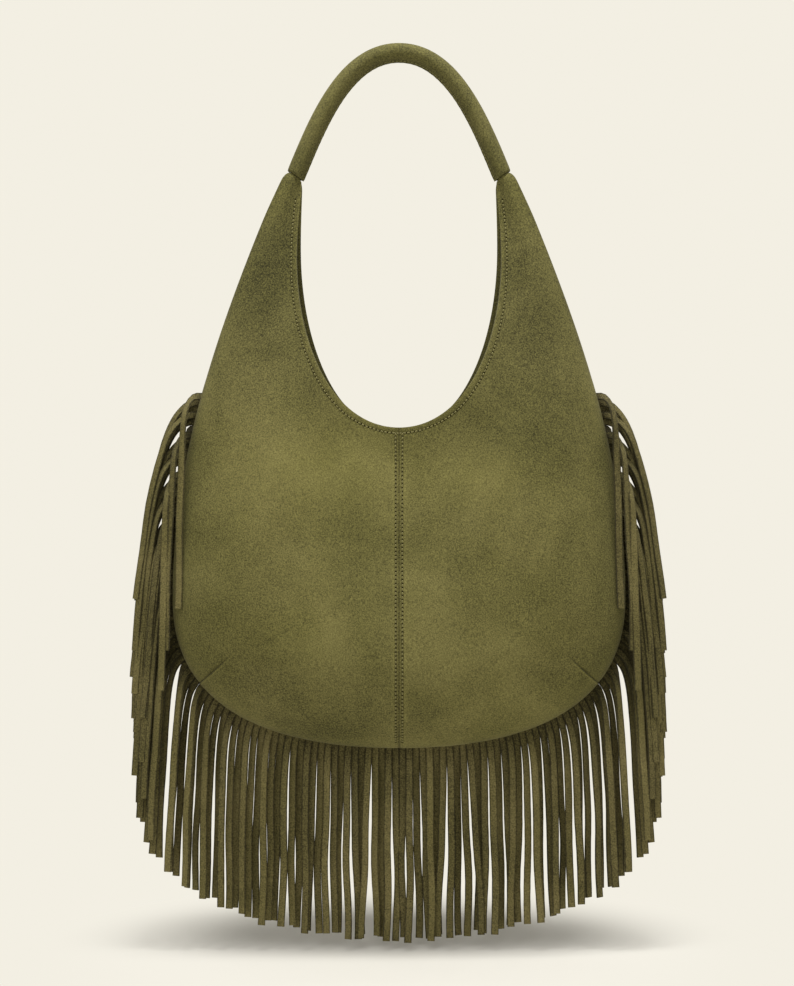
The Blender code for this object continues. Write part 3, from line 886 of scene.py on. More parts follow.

# Patches on the front where the nap lies another way and where light and shade are painted: the lighter ones
# high on the front are painted highlight, the dark ones low down and beside the darts are painted shade, and
# the smallest is a stain. Columns: x, z, half width, half height, how much lighter
FRONT_NAP_AND_PAINTED_LIGHT = (
    (-0.050, -0.322, 0.062, 0.036, 0.37),
    (0.060, -0.332, 0.030, 0.020, 0.26),
    (-0.075, -0.455, 0.040, 0.026, 0.15),
    (0.085, -0.470, 0.045, 0.030, 0.08),
    (-0.020, -0.420, 0.050, 0.080, 0.05),
    (-0.105, -0.190, 0.060, 0.100, -0.25),
    (0.105, -0.190, 0.060, 0.100, -0.26),
    (-0.070, -0.525, 0.075, 0.036, -0.18),
    (0.110, -0.515, 0.060, 0.036, 0.05),
    (0.165, -0.400, 0.030, 0.100, -0.06),
    (-0.108, -0.488, 0.022, 0.016, -0.17),
    (0.116, -0.482, 0.022, 0.016, -0.14),
    (0.028, -0.514, 0.007, 0.005, -0.16),
)


def suede_finish(name, colour, look, brushed=True, grain=1.0, cut_edges=False):
    """Brushed suede: patches of nap lying both ways, a fine grain, edge wear with painted light and shade
    kept on the points, patches of painted highlight and painted shade on the front, and painted shade along
    cut edges.
    """
    made, tree, end = new_material(name)
    place = tree.place()
    tone = tree.node("ShaderNodeAttribute", {"attribute_name": "tone"}, None, "Fac")
    patches = tree.noise(place, look.patch_density, 3.0, 0.55, 0.4)
    streaks = tree.noise(tree.stretched(place, (1.0, 1.0, 0.33), (0.0, 0.45, 0.0)), 46.0, 3.0, 0.6, 0.6)
    mottle = tree.noise(place, 150.0, 3.0, 0.6)
    fibres = tree.noise(place, 1.0 / look.grain_size, 3.0, 0.65)
    dust = tree.noise(place, 2.3 / look.grain_size, 2.0, 0.7)
    patch_step = tree.node("ShaderNodeValToRGB", {"stops": ((0.34, 0.0), (0.66, 1.0))}, {"Fac": patches})
    strength = look.patch_strength
    light = 1.0 + (patch_step - 0.5) * (0.25 * strength)
    light = light + (streaks - 0.5) * (0.26 * strength)
    light = light + (mottle - 0.5) * 0.20
    light = light + (fibres - 0.5) * (2.9 * grain)
    light = light + (dust - 0.5) * (1.4 * grain)
    # Painted light and shade kept on the points, together with the panels' edge wear and the strands' random
    # tone.
    light = light + tone * 0.22
    # Painted shade darkening each strand towards its cut edges, and a slight painted light from one edge of
    # it to the other.
    if cut_edges:
        across = tree.node("ShaderNodeAttribute", {"attribute_name": "across"}, None, "Fac")
        beside = tree.maths("ABSOLUTE", across)
        edge = tree.node("ShaderNodeMapRange", {"interpolation_type": "SMOOTHSTEP"},
                         {"Value": beside, "From Min": 0.60, "From Max": 0.97})
        light = light - edge * 0.64 + across * 0.05
    # Patches of brushed nap, painted highlight and painted shade on the front, and one stain.
    if brushed:
        across, _, up = tree.axes(place)
        wander = (tree.noise(place, 18.0, 2.0) - 0.5) * 0.9
        for x, z, half_width, half_height, by in FRONT_NAP_AND_PAINTED_LIGHT:
            away = ((across - x) / half_width) ** 2.0 + ((up - z) / half_height) ** 2.0 + wander
            light = light + tree.clamp(tree.maths("EXPONENT", away * -1.0)) * (by * strength)
    light = tree.clamp(light, DARKEST, LIGHTEST)
    worn_colour = [c * w for c, w in zip(colour, WORN_TINT)]
    worn = tree.blend(opaque(colour), opaque(worn_colour), patch_step)
    height = fibres * 0.6 + dust * 0.4 + mottle * 0.35
    join_principled(tree, end, {
        "Base Color": tree.brighten(worn, light), "Roughness": 0.90 + (fibres - 0.5) * 0.12,
        "Normal": tree.bump(height, 0.55, 0.0005), "Specular IOR Level": 0.18,
        "Sheen Weight": look.sheen, "Sheen Roughness": 0.45, "Sheen Tint": SHEEN_TINT})
    return made


def woven_finish(name, colour, pitch):
    """Plain weave cotton: raised threads crossing both ways, a little uneven."""
    made, tree, end = new_material(name)
    place = tree.place()
    across, _, up = tree.axes(place)
    turns = 2 * math.pi / pitch
    weave = tree.maths("SINE", across * turns) * tree.maths("SINE", up * turns) * 0.5 + 0.5
    slub = tree.noise(tree.stretched(place, (1.0, 1.0, 0.08)), 420.0, 2.0)
    soiling = tree.noise(place, 14.0, 3.0)
    light = 0.72 + weave * 0.30 + (slub - 0.5) * 0.35 + (soiling - 0.5) * 0.22
    join_principled(tree, end, {
        "Base Color": tree.brighten(colour, light), "Roughness": 0.92 - weave * 0.06,
        "Normal": tree.bump(weave + slub * 0.4, 0.5, 0.0002), "Specular IOR Level": 0.2,
        "Sheen Weight": 0.02})
    return made


def thread_finish(name, colour, shine=0.35):
    """Sewing thread with a tight twist; a needle hole's shade is the same without shine."""
    made, tree, end = new_material(name)
    place = tree.place()
    lay = tree.noise(place, 2600.0, 2.0)
    run = tree.noise(place, 300.0, 2.0)
    join_principled(tree, end, {
        "Base Color": tree.brighten(colour, 0.8 + lay * 0.25 + run * 0.2), "Roughness": 0.62 + lay * 0.16,
        "Normal": tree.bump(lay, 0.4, 0.0001), "Specular IOR Level": shine})
    return made


def metal_finish(name, colour):
    """Antique brass: tarnished in patches, rubbed brighter, with fine scratches."""
    made, tree, end = new_material(name)
    place = tree.place()
    tarnish = tree.noise(place, 260.0, 4.0, 0.6)
    scratches = tree.noise(tree.stretched(place, (1.0, 1.0, 0.06), (0.0, 0.7, 0.0)), 2400.0, 2.0)
    dark = [c * 0.38 for c in colour]
    step = tree.node("ShaderNodeValToRGB", {"stops": ((0.38, 0.0), (0.62, 1.0))}, {"Fac": tarnish})
    join_principled(tree, end, {
        "Base Color": tree.blend(opaque(dark), opaque(colour), step),
        "Roughness": 0.48 - step * 0.16 + (scratches - 0.5) * 0.1,
        "Metallic": 1.0, "Normal": tree.bump(scratches, 0.15, 0.0001)})
    return made


def geometry_tree(name, inputs):
    """A geometry node tree with named inputs; gives back the tree and its input links by name."""
    group = bpy.data.node_groups.new(name, "GeometryNodeTree")
    group.interface.new_socket("Geometry", in_out="INPUT", socket_type="NodeSocketGeometry")
    for label, kind in inputs:
        group.interface.new_socket(label, in_out="INPUT", socket_type=kind)
    group.interface.new_socket("Geometry", in_out="OUTPUT", socket_type="NodeSocketGeometry")
    tree = Tree(group)
    start = tree.node("NodeGroupInput").socket.node
    links = {socket.name: Link(tree, socket) for socket in start.outputs if socket.name}
    return tree, links


def close_tree(tree, geometry, material):
    """Make the result plain and give it its material."""
    plain = tree.node("GeometryNodeRealizeInstances", None, {"Geometry": geometry})
    painted = tree.node("GeometryNodeSetMaterial", None, {"Geometry": plain, "Material": material})
    tree.node("NodeGroupOutput", None, {"Geometry": painted})


def run_tree(piece, tree, values):
    """Put a tree on a piece, set its inputs by identifier, and keep the plain result."""
    modifier = piece.modifiers.new("pattern", "NODES")
    modifier.node_group = tree.nodes
    for item in tree.nodes.interface.items_tree:
        if item.item_type == "SOCKET" and item.in_out == "INPUT" and item.name in values:
            modifier[item.identifier] = values[item.name]
    return make_plain(piece)


def strand_tree():
    """Slit suede strands along lines, each flat strip turned by the line's own normal."""
    tree, given = geometry_tree("slit_strands", (
        ("Strand Width", "NodeSocketFloat"), ("Strand Thickness", "NodeSocketFloat"),
        ("Edge Rounding", "NodeSocketFloat"), ("Material", "NodeSocketMaterial")))
    lines = tree.node("GeometryNodeMeshToCurve", None, {"Mesh": given["Geometry"]})
    turned_lines = tree.node("GeometryNodeSetCurveNormal", {"mode": "FREE"},
                             {"Curve": lines, "Normal": tree.kept("square", "FLOAT_VECTOR")})
    strip = tree.node("GeometryNodeCurvePrimitiveQuadrilateral", {"mode": "RECTANGLE"},
                      {"Width": given["Strand Thickness"], "Height": given["Strand Width"]})
    soft_strip = tree.node("GeometryNodeFilletCurve", {"mode": "POLY"},
                           {"Curve": strip, "Radius": given["Edge Rounding"], "Count": 2})
    across = tree.axes(tree.node("GeometryNodeInputPosition"))[1] / given["Strand Width"]
    marked_strip = tree.node("GeometryNodeStoreNamedAttribute", {"data_type": "FLOAT", "domain": "POINT"},
                             {"Geometry": soft_strip, "Name": "across", "Value": across * 2.0})
    strands = tree.node("GeometryNodeCurveToMesh", None, {
        "Curve": turned_lines, "Profile Curve": marked_strip, "Scale": tree.kept("fullness", "FLOAT"),
        "Fill Caps": True})
    close_tree(tree, strands, given["Material"])
    return tree


def spaced_places(tree, given):
    """Points a stitch apart along the lines, and the turn that lays X along and Z off the suede."""
    lines = tree.node("GeometryNodeMeshToCurve", None, {"Mesh": given["Geometry"]})
    spaced = tree.node("GeometryNodeResampleCurve", {"mode": "LENGTH"},
                       {"Curve": lines, "Length": given["Stitch Pitch"]})
    along = tree.node("GeometryNodeInputTangent")
    turn = tree.node("FunctionNodeAxesToRotation", {"primary_axis": "X", "secondary_axis": "Z"},
                     {"Primary Axis": along, "Secondary Axis": tree.kept("square", "FLOAT_VECTOR")})
    return spaced, turn


def needle_hole_tree():
    """Dark discs of painted shade where the needle went through, one between each stitch and the next."""
    tree, given = geometry_tree("needle_hole_painted_shade_row", (
        ("Stitch Pitch", "NodeSocketFloat"), ("Hole Radius", "NodeSocketFloat"),
        ("Hole Rise", "NodeSocketFloat"), ("Material", "NodeSocketMaterial")))
    spaced, turn = spaced_places(tree, given)
    # A flat dark disc just above the suede stands for the shade in the hole.
    dimple = tree.node("GeometryNodeMeshCircle", {"fill_type": "TRIANGLE_FAN"},
                       {"Vertices": 8, "Radius": given["Hole Radius"]})
    rise = tree.node("ShaderNodeCombineXYZ", None, {"Z": given["Hole Rise"]})
    raised = tree.node("GeometryNodeTransform", None, {"Geometry": dimple, "Translation": rise})
    row = tree.node("GeometryNodeInstanceOnPoints", None,
                    {"Points": spaced, "Instance": raised, "Rotation": turn})
    close_tree(tree, row, given["Material"])
    return tree


def stitch_tree():
    """Stitches spaced along lines, each one a short arch of thread between two needle holes."""
    tree, given = geometry_tree("stitch_row", (
        ("Stitch Pitch", "NodeSocketFloat"), ("Stitch Length", "NodeSocketFloat"),
        ("Thread Radius", "NodeSocketFloat"), ("Stitch Arch", "NodeSocketFloat"),
        ("Material", "NodeSocketMaterial")))
    spaced, turn = spaced_places(tree, given)
    half = given["Stitch Length"] * 0.5
    centre = given["Stitch Pitch"] * 0.5
    left = tree.node("ShaderNodeCombineXYZ", None, {"X": centre - half})
    right = tree.node("ShaderNodeCombineXYZ", None, {"X": centre + half})
    middle = tree.node("ShaderNodeCombineXYZ", None, {"X": centre, "Z": given["Stitch Arch"] * 2.0})
    thread = tree.node("GeometryNodeCurveQuadraticBezier", None,
                       {"Resolution": 4, "Start": left, "Middle": middle, "End": right})
    round_thread = tree.node("GeometryNodeCurvePrimitiveCircle", {"mode": "RADIUS"},
                             {"Resolution": 6, "Radius": given["Thread Radius"]})
    stitch = tree.node("GeometryNodeCurveToMesh", None,
                       {"Curve": thread, "Profile Curve": round_thread, "Fill Caps": True})
    row = tree.node("GeometryNodeInstanceOnPoints", None,
                    {"Points": spaced, "Instance": stitch, "Rotation": turn})
    close_tree(tree, row, given["Material"])
    return tree


# Fringe


def strand_lie(distance, index, rng):
    """How one strand hangs: its root, angles, bend, depth and length."""
    outward = SEAM.outward(distance)
    root = SEAM.at(distance) + HEADER_OUTSIDE * outward
    angle = math.atan2(outward[0], -outward[1])
    swing = min(max(math.sin(angle), 0.0), 1.0)
    on_shoulder = max(0.0, math.degrees(angle) - 90.0)
    lane = LANE_ORDER[index % LANES]
    outer_lane = lane in (0, LANES - 1)
    lane_pitch = mix(LANE_PITCH_BOTTOM, LANE_PITCH_SIDE, swing * swing)
    sway = rng.uniform(-1.0, 1.0)
    turn = rng.uniform(-1.0, 1.0)
    length = STRAND_LENGTH + STRAND_SIDE_EXTRA * swing**3
    length += rng.uniform(-STRAND_LENGTH_SPREAD, STRAND_LENGTH_SPREAD)
    if outer_lane and on_shoulder > DRAPE_ABOVE_SLOPE:
        lean = DRAPE_LEAN
        length += DRAPE_LONGER
        depth = math.copysign(DRAPE_DEPTH, lane - MIDDLE_LANE)
    else:
        lean = SHOULDER_LEAN_SHARE * on_shoulder + STRAND_LEAN * swing**0.8
        depth = (lane - MIDDLE_LANE) * lane_pitch
        if index < LANES and on_shoulder > 0:
            lean += FIRST_ROW_LEAN
            length -= FIRST_ROW_SHORTER
    lean = math.radians(lean + sway * mix(BOTTOM_SWAY, SIDE_SWAY, swing))
    bend = mix(SIDE_BEND, SHOULDER_BEND, min(on_shoulder / SHOULDER_SLOPE, 1.0))
    lane_run = LANE_RUN
    if outer_lane and swing > SIDE_SWING:
        bend = OUTER_LANE_BEND
        lane_run = OUTER_LANE_RUN
    elif lane == 1 and swing > SIDE_SWING and index > 2 * LANES:
        bend = FRONT_LANE_BEND
    return root, angle, swing, lean, bend, depth, lane_run, length, turn


def strand_line(distance, index, rng, stray):
    """Points down the middle of one strand and the direction its flat face looks in at each."""
    root, angle, swing, lean, bend, depth, lane_run, length, turn = strand_lie(distance, index, rng)
    lean += math.radians(STRAY_LEAN) * stray * mix(1.0, SIDE_STRAY, swing)
    front_lane = depth < FRONT_LANE_DEPTH and swing > SIDE_SWING
    clump = noise.noise(Vector((distance * CLUMPS_PER_METRE, 0.7, 0.2)))
    step = STRAND_STEP
    count = int(round(length / step))
    x, z = root
    path = [(x, z)]
    for i in range(count):
        run = (i + 0.5) * step
        settled = lean * (1.0 - LEAN_FADE * run / length)
        now = settled + (angle - settled) * math.exp(-run / bend)
        x += math.sin(now) * step
        z -= math.cos(now) * step
        path.append((x, z))
    points = []
    squares = []

    def spread(run):
        if abs(depth) == DRAPE_DEPTH:
            return 1.0 - (1.0 - min(run / DRAPE_RUN, 1.0)) ** 3
        return smooth(run / lane_run)

    for share in STRAND_SHARES:
        run = share * length
        i = min(int(round(run / step)), count)
        low, high = max(i - 2, 0), min(i + 2, count)
        layer = ROOT_STEP * (LANE_ORDER[index % LANES] - MIDDLE_LANE)
        centre = np.array([path[i][0], layer + depth * spread(run), path[i][1]])
        rise = depth * (spread(high * step) - spread(low * step))
        axis = np.array([path[high][0] - path[low][0], rise, path[high][1] - path[low][1]])
        axis /= np.linalg.norm(axis)
        flat_side = np.cross(axis, [0.0, 1.0, 0.0])
        flat_side /= np.linalg.norm(flat_side)
        deep_side = np.cross(flat_side, axis)
        edge_on = math.radians(BEND_TWIST) * smooth((run - BEND_FROM) / bend)
        hanging = math.radians((FRONT_LANE_TWIST if front_lane else HANGING_TWIST) + TWIST_SPREAD * turn)
        side_twist = mix(edge_on, hanging, smooth((run - HANG_FROM) / HANG_OVER))
        twist = side_twist * swing**0.7 + math.radians(BOTTOM_TWIST) * turn * (1 - swing) * run / length
        across = math.cos(twist) * flat_side + math.sin(twist) * deep_side
        through = np.cross(across, axis)
        free = smooth((run - FREE_FROM) / FREE_OVER)
        curl = CURL * free * math.sin(run * CURL_RATE + 6.0 * turn)
        bow = STRAY_BOW * free * math.sin(run * BOW_RATE + 9.0 * stray) * (1.0 - 0.7 * swing)
        bow += CLUMP * clump * smooth((run - CLUMP_FROM) / CLUMP_OVER) * (1.0 - 0.6 * swing)
        points.append(centre + curl * through + [bow, 0.0, 0.0])
        squares.append(through)
    return points, squares


def fringe_header(name, first, last, side, finish):
    """The uncut strip that is sewn between the panels."""
    sections = []
    for distance in np.linspace(first + CLEARANCE / 2, last - CLEARANCE / 2, HEADER_LINES):
        point = SEAM.at(distance)
        outward = SEAM.outward(distance)
        section = []
        for reach in np.linspace(-HEADER_INSIDE, HEADER_OUTSIDE, HEADER_ROWS):
            flat = point + reach * outward
            section.append(mirrored(side, (flat[0], 0.0, flat[1])))
        sections.append(section)
    return add_sheet(name, sections, FRINGE_SUEDE, finish)


def make_fringe(name, first, last, side, look, finish):
    """A header strip and the strands that hang from it, in one mesh."""
    count = int(round((last - first) / STRAND_PITCH))
    bounds = np.linspace(first + CLEARANCE / 2, last - CLEARANCE / 2, count + 1)
    own_seed = SEED + (1 if side > 0 and last == SEAM.length else 0)
    rng = random.Random(own_seed + int(first * 100))
    vary = random.Random(SEED * 7 + side)
    vertices = []
    squares = []
    fullness = []
    tone = []
    edges = []
    for i in range(count):
        stray = vary.uniform(-1.0, 1.0)
        middle = (bounds[i] + bounds[i + 1]) / 2
        points, normals = strand_line(middle, i, rng, stray)
        root_shade = mix(ROOT_SHADE, SIDE_ROOT_SHADE, smooth(SEAM.outward(middle)[0]))
        shade = vary.uniform(-SHADE_SPREAD, SHADE_SPREAD)
        cut = vary.uniform(-CUT_NARROWER, CUT_WIDER)
        first_vertex = len(vertices)
        for j, (point, normal) in enumerate(zip(points, normals)):
            vertices.append(mirrored(side, point))
            squares.append(mirrored(side, normal))
            wobble = CUT_WOBBLE * math.sin(3.1 * j + 5.0 * shade)
            hanging = FULLNESS + cut + wobble
            fullness.append(mix(ROOT_FULLNESS, hanging, smooth(STRAND_RUNS[j] / ROOT_RUN)))
            # Painted shade at each strand's root, deeper on the sides, under the seam; the shade drawn for
            # each strand is its random tone.
            tone.append(shade - root_shade * max(0.0, 1.0 - j / ROOT_SHADE_STEPS))
        edges += [(first_vertex + j, first_vertex + j + 1) for j in range(len(points) - 1)]
    strands = add_object(name, vertices, [], None, edges)
    set_values(strands, "square", squares, "FLOAT_VECTOR")
    set_values(strands, "fullness", fullness)
    set_values(strands, "tone", tone)
    run_tree(strands, strand_tree(), {
        "Strand Width": look.strand_width, "Strand Thickness": look.strand_thickness,
        "Edge Rounding": look.edge_rounding, "Material": finish})
    header = fringe_header(name + "_header", first, last, side, finish)
    with bpy.context.temp_override(active_object=strands, selected_editable_objects=[strands, header]):
        bpy.ops.object.join()
    return strands


# Handle


def sleeve_profile(slices):
    """A C-shaped wall whose two lips stand inwards, sewn face to face."""
    bore = SLEEVE_RADIUS - SLEEVE_WALL
    gap = CLEARANCE / 2
    lip = gap + SLEEVE_WALL
    tip = SLEEVE_RADIUS + FIN_SHOWN
    outer_start = math.asin(lip / SLEEVE_RADIUS) + FIN_FROM_LIP
    inner_start = math.asin(gap / bore)
    outer = [(SLEEVE_RADIUS * math.cos(a), SLEEVE_RADIUS * math.sin(a))
             for a in np.linspace(outer_start, 2 * math.pi - outer_start, slices)]
    inner = [(bore * math.cos(a), bore * math.sin(a))
             for a in np.linspace(2 * math.pi - inner_start, inner_start, slices)]
    shaped = [(tip + reach, lip * share) for reach, share in LIP_SHAPE]
    lead = [(tip, gap)] + shaped + [(SLEEVE_RADIUS * 0.985, lip * 1.08)]
    tail = [(a, -b) for a, b in reversed(lead)]
    return lead + outer + tail + inner


def handle_sections():
    """The sleeve's loops along the arch, and the painted shade and painted highlight of each of their points.
    """
    slant = math.tan(math.radians(SLEEVE_END_SLANT))
    profile = sleeve_profile(SLEEVE_SLICES)
    sections = []
    tone = []
    for distance in np.linspace(-ARCH.length, ARCH.length, SLEEVE_RINGS):
        centre, axis, outward = arch_frame(distance)
        to_end = ARCH.length - abs(distance)
        shift = math.copysign(slant, distance) * max(0.0, 1.0 - to_end / SLANT_RUN)
        swell = 1.0 + SLEEVE_SWELL * noise.noise(Vector((distance * SWELLS_PER_METRE, 2.0, 0.0)))
        pinch = FIN_PINCH * math.sin(distance * 2 * math.pi / PINCH_LENGTH)
        at_end = math.exp(-to_end / END_FOLD_REACH)
        fold = END_FOLD * at_end
        loop = []
        for inward, sideways in profile:
            radius = math.hypot(inward, sideways)
            near_fin = smooth((inward - 0.003) / 0.004)
            grow = swell + (pinch * near_fin - fold) / radius
            inward_now, sideways_now = inward * grow, sideways * grow
            flat = centre - inward_now * outward + shift * inward_now * axis
            loop.append((flat[0], sideways_now, flat[1]))
            on_lip = inward > SLEEVE_RADIUS - 0.0002
            # Painted shade on the fin and the underside beside it, and a painted highlight on the rims at the
            # sleeve's ends.
            tone.append((-0.9 if on_lip else -0.6 * near_fin) + 0.9 * at_end)
        sections.append(loop)
    return sections, tone


def make_sleeve(finish):
    """The sleeve's wall, closed at both ends between its outer and inner sides."""
    sections, tone = handle_sections()
    count = len(sections[0])
    vertices = [p for loop in sections for p in loop]
    faces = grid_faces(len(sections), count, closed=True)
    first = len(vertices) - count
    half = count // 2
    for base in (0, first):
        for k in range(half - 1):
            faces.append((base + k, base + k + 1, base + count - 2 - k, base + count - 1 - k))
    sleeve = add_object("suede_handle", vertices, faces, finish)
    set_values(sleeve, "tone", tone)
    return sleeve


# Stitch rows


def neckline_row(face, side):
    """Points along the topstitching of one side of the mouth, with the direction off the suede."""
    quarter = Quarter(face, side)
    points = []
    squares = []
    for u in np.linspace(NECK_ROW_FROM_U, NECK_ROW_TO_U, NECK_ROW_POINTS):
        d = quarter.width(u) - NECK_STITCH_INSET
        points.append(mirrored(side, quarter.on_top(u, d, 0.0)))
        squares.append(mirrored(side, quarter.normal(u, d)))
    return points, squares


def centre_row(face, side):
    """Points up one side of the centre seam."""
    quarter = Quarter(face, side)
    last = quarter.width(1.0) - NECK_STITCH_INSET - CENTRE_ROW_BELOW
    points = []
    squares = []
    for d in np.linspace(CENTRE_ROW_FROM, last, CENTRE_ROW_POINTS):
        probe = quarter.point(0.995, d)[0]
        u = 1.0 - 0.005 * CENTRE_STITCH_INSET / probe
        points.append(mirrored(side, quarter.on_top(u, d, 0.0)))
        squares.append(mirrored(side, quarter.normal(u, d)))
    return points, squares


def fin_row(side):
    """Points along one side of the handle's sewn fin."""
    points = []
    squares = []
    for distance in np.linspace(-ARCH.length + FIN_ROW_END, ARCH.length - FIN_ROW_END, FIN_ROW_POINTS):
        centre, _, outward = arch_frame(distance)
        flat = centre - (SLEEVE_RADIUS + FIN_ROW_RISE * FIN_SHOWN) * outward
        points.append((flat[0], side * (CLEARANCE / 2 + SLEEVE_WALL), flat[1]))
        squares.append((0.0, float(side), 0.0))
    return points, squares


def make_stitches(name, rows, look, thread, hole, fineness=1.0):
    """The threads of some rows, and the needle holes between them where a shade for holes is given."""
    vertices = []
    squares = []
    edges = []
    for points, normals in rows:
        first = len(vertices)
        vertices += points
        squares += normals
        edges += [(first + j, first + j + 1) for j in range(len(points) - 1)]
    threads = {"Stitch Pitch": look.pitch, "Stitch Length": look.length, "Material": thread,
               "Thread Radius": fineness * look.thickness / 2,
               "Stitch Arch": fineness * look.thickness * THREAD_ARCH}
    holes = {"Stitch Pitch": look.pitch, "Hole Radius": look.hole / 2, "Hole Rise": HOLE_RISE,
             "Material": hole}
    kinds = [("stitches", stitch_tree, threads)]
    if hole:
        kinds.append(("needle_hole_painted_shade", needle_hole_tree, holes))
    for kind, make_tree, values in kinds:
        piece = add_object(f"{name}_{kind}", vertices, [], None, edges)
        set_values(piece, "square", squares, "FLOAT_VECTOR")
        run_tree(piece, make_tree(), values)
        finish_piece(piece, "suede")


# Settings


class SuedeSettings(bpy.types.PropertyGroup):
    """Colour and nap of the suede."""

    body_colour: bpy.props.FloatVectorProperty(
        name="Body colour", description="Dye colour of the panels and handle", subtype="COLOR",
        size=3, min=0.0, max=1.0, default=(0.124, 0.113, 0.033))
    fringe_colour: bpy.props.FloatVectorProperty(
        name="Fringe colour", description="Dye colour of the fringe", subtype="COLOR",
        size=3, min=0.0, max=1.0, default=(0.124, 0.106, 0.037))
    lining_colour: bpy.props.FloatVectorProperty(
        name="Lining colour", description="Colour of the cotton lining", subtype="COLOR",
        size=3, min=0.0, max=1.0, default=(0.090, 0.076, 0.040))
    grain_size: bpy.props.FloatProperty(
        name="Grain size", description="Size of the tufts that the nap forms", unit="LENGTH",
        default=0.0011, min=0.0002, max=0.01, precision=5)
    patch_density: bpy.props.FloatProperty(
        name="Patches per metre", description="How close together the brushed patches lie",
        default=13.0, min=1.0, max=60.0)
    # The strength also scales the front's patches of painted highlight and painted shade.
    patch_strength: bpy.props.FloatProperty(
        name="Patch strength", description="How much lighter or darker brushed patches are",
        subtype="FACTOR", default=1.3, min=0.0, max=2.0)
    sheen: bpy.props.FloatProperty(
        name="Sheen", description="Soft glow of the nap seen at a low angle", subtype="FACTOR",
        default=0.07, min=0.0, max=1.0)


class FringeSettings(bpy.types.PropertyGroup):
    """Sizes of the slit strands."""

    strand_width: bpy.props.FloatProperty(
        name="Strand width", description="Width of each strand", unit="LENGTH",
        default=STRAND_WIDTH, min=0.001, max=0.02, precision=5)
    strand_thickness: bpy.props.FloatProperty(
        name="Strand thickness", description="Thickness of the fringe suede", unit="LENGTH",
        default=FRINGE_SUEDE, min=0.0005, max=0.004, precision=5)
    edge_rounding: bpy.props.FloatProperty(
        name="Edge rounding", description="Radius at the cut edges of a strand", unit="LENGTH",
        default=0.0004, min=0.0, max=0.002, precision=5)


class StitchSettings(bpy.types.PropertyGroup):
    """Sizes and colour of the topstitching."""

    pitch: bpy.props.FloatProperty(
        name="Stitch pitch", description="Distance from one stitch to the next", unit="LENGTH",
        default=0.0031, min=0.001, max=0.02, precision=5)
    length: bpy.props.FloatProperty(
        name="Stitch length", description="Visible length of one stitch", unit="LENGTH",
        default=0.0017, min=0.0005, max=0.02, precision=5)
    thickness: bpy.props.FloatProperty(
        name="Thread thickness", description="Diameter of the thread", unit="LENGTH",
        default=0.0009, min=0.0001, max=0.003, precision=5)
    # Width of the dark disc of painted shade that stands for a needle hole.
    hole: bpy.props.FloatProperty(
        name="Needle hole", description="Width of the dimple where the needle went through",
        unit="LENGTH", default=0.0018, min=0.0002, max=0.004, precision=5)
    colour: bpy.props.FloatVectorProperty(
        name="Thread colour", description="Colour of the sewing thread", subtype="COLOR",
        size=3, min=0.0, max=1.0, default=(0.180, 0.162, 0.058))
    hole_colour: bpy.props.FloatVectorProperty(
        name="Hole colour", description="Colour in the shade of a needle hole", subtype="COLOR",
        size=3, min=0.0, max=1.0, default=(0.024, 0.021, 0.007))


class StudioSettings(bpy.types.PropertyGroup):
    """Backdrop and lights."""

    backdrop: bpy.props.FloatVectorProperty(
        name="Backdrop colour", description="Colour of the backdrop and the far floor",
        subtype="COLOR", size=3, min=0.0, max=1.0, default=(0.896, 0.863, 0.767))
    floor: bpy.props.FloatVectorProperty(
        name="Floor colour", description="Colour of the floor under the bag", subtype="COLOR",
        size=3, min=0.0, max=1.0, default=(0.826, 0.800, 0.727))
    key_power: bpy.props.FloatProperty(
        name="Key light", description="Power of the large light in front and above",
        subtype="POWER", default=13.0, min=0.0, max=1000.0)
    top_power: bpy.props.FloatProperty(
        name="Top light", description="Power of the light overhead", subtype="POWER",
        default=18.0, min=0.0, max=1000.0)
    fill: bpy.props.FloatProperty(
        name="Fill", description="Strength of the soft light from all round", subtype="FACTOR",
        default=0.40, min=0.0, max=2.0)


# Operators


def suede_of(context, name, **options):
    """The body's suede, made once and shared by the pieces cut from it."""
    found = bpy.data.materials.get(name)
    if found:
        return found
    look = context.scene.bag_suede
    colour = look.fringe_colour if name == "fringe_suede_nap" else look.body_colour
    colour = [c * SUEDE_SHADE.get(name, 1.0) for c in colour]
    return suede_finish(name, colour, look, **options)


def both_halves(face, first, count):
    """Each half of a face with the values of u that lead across it, from one end to the other."""
    yield 1, Quarter(face, 1), np.linspace(first, 1.0, count)
    yield -1, Quarter(face, -1), np.linspace(1.0, first, count)[1:]


class BAG_OT_panels(bpy.types.Operator):
    """Make the four panels of the body, with their darts, turned edges and tabs"""

    bl_idname = "bag.panels"
    bl_label = "Body Panels"

    def execute(self, context):
        finish = suede_of(context, "suede_nap")
        for place_name, face in FACES:
            for side_name, side in SIDES:
                quarter = Quarter(face, side)
                sections = [[mirrored(side, p) for p in section] for section in panel_sections(quarter)]
                name = f"{place_name}_panel_{side_name}"
                tone = panel_wear_and_painted_light(quarter)
                piece = add_sheet(f"suede_{name}", sections, SUEDE, finish, tone, PANEL_ROUNDING)
                finish_piece(piece, "suede", name)
        return {"FINISHED"}


class BAG_OT_facings(bpy.types.Operator):
    """Make the bands of suede inside the mouth"""

    bl_idname = "bag.facings"
    bl_label = "Mouth Facings"

    def execute(self, context):
        finish = suede_of(context, "facing_painted_shade_nap", brushed=False)
        inset = SUEDE / 2 + CLEARANCE + FACING_SUEDE / 2
        for place_name, face in FACES:
            sections = []
            for side, quarter, stations in both_halves(face, FACING_FROM_U, FACING_LINES):
                for u in stations:
                    width = quarter.width(u)
                    band = quarter.facing_width(u)
                    sections.append([mirrored(side, quarter.inside(u, width - band * share, inset))
                                     for share in np.linspace(1.0, 0.0, FACING_ROWS)])
            piece = add_sheet(f"suede_{place_name}_facing", sections, FACING_SUEDE, finish, None,
                              FACING_ROUNDING)
            finish_piece(piece, "suede", f"{place_name}_facing")
        return {"FINISHED"}


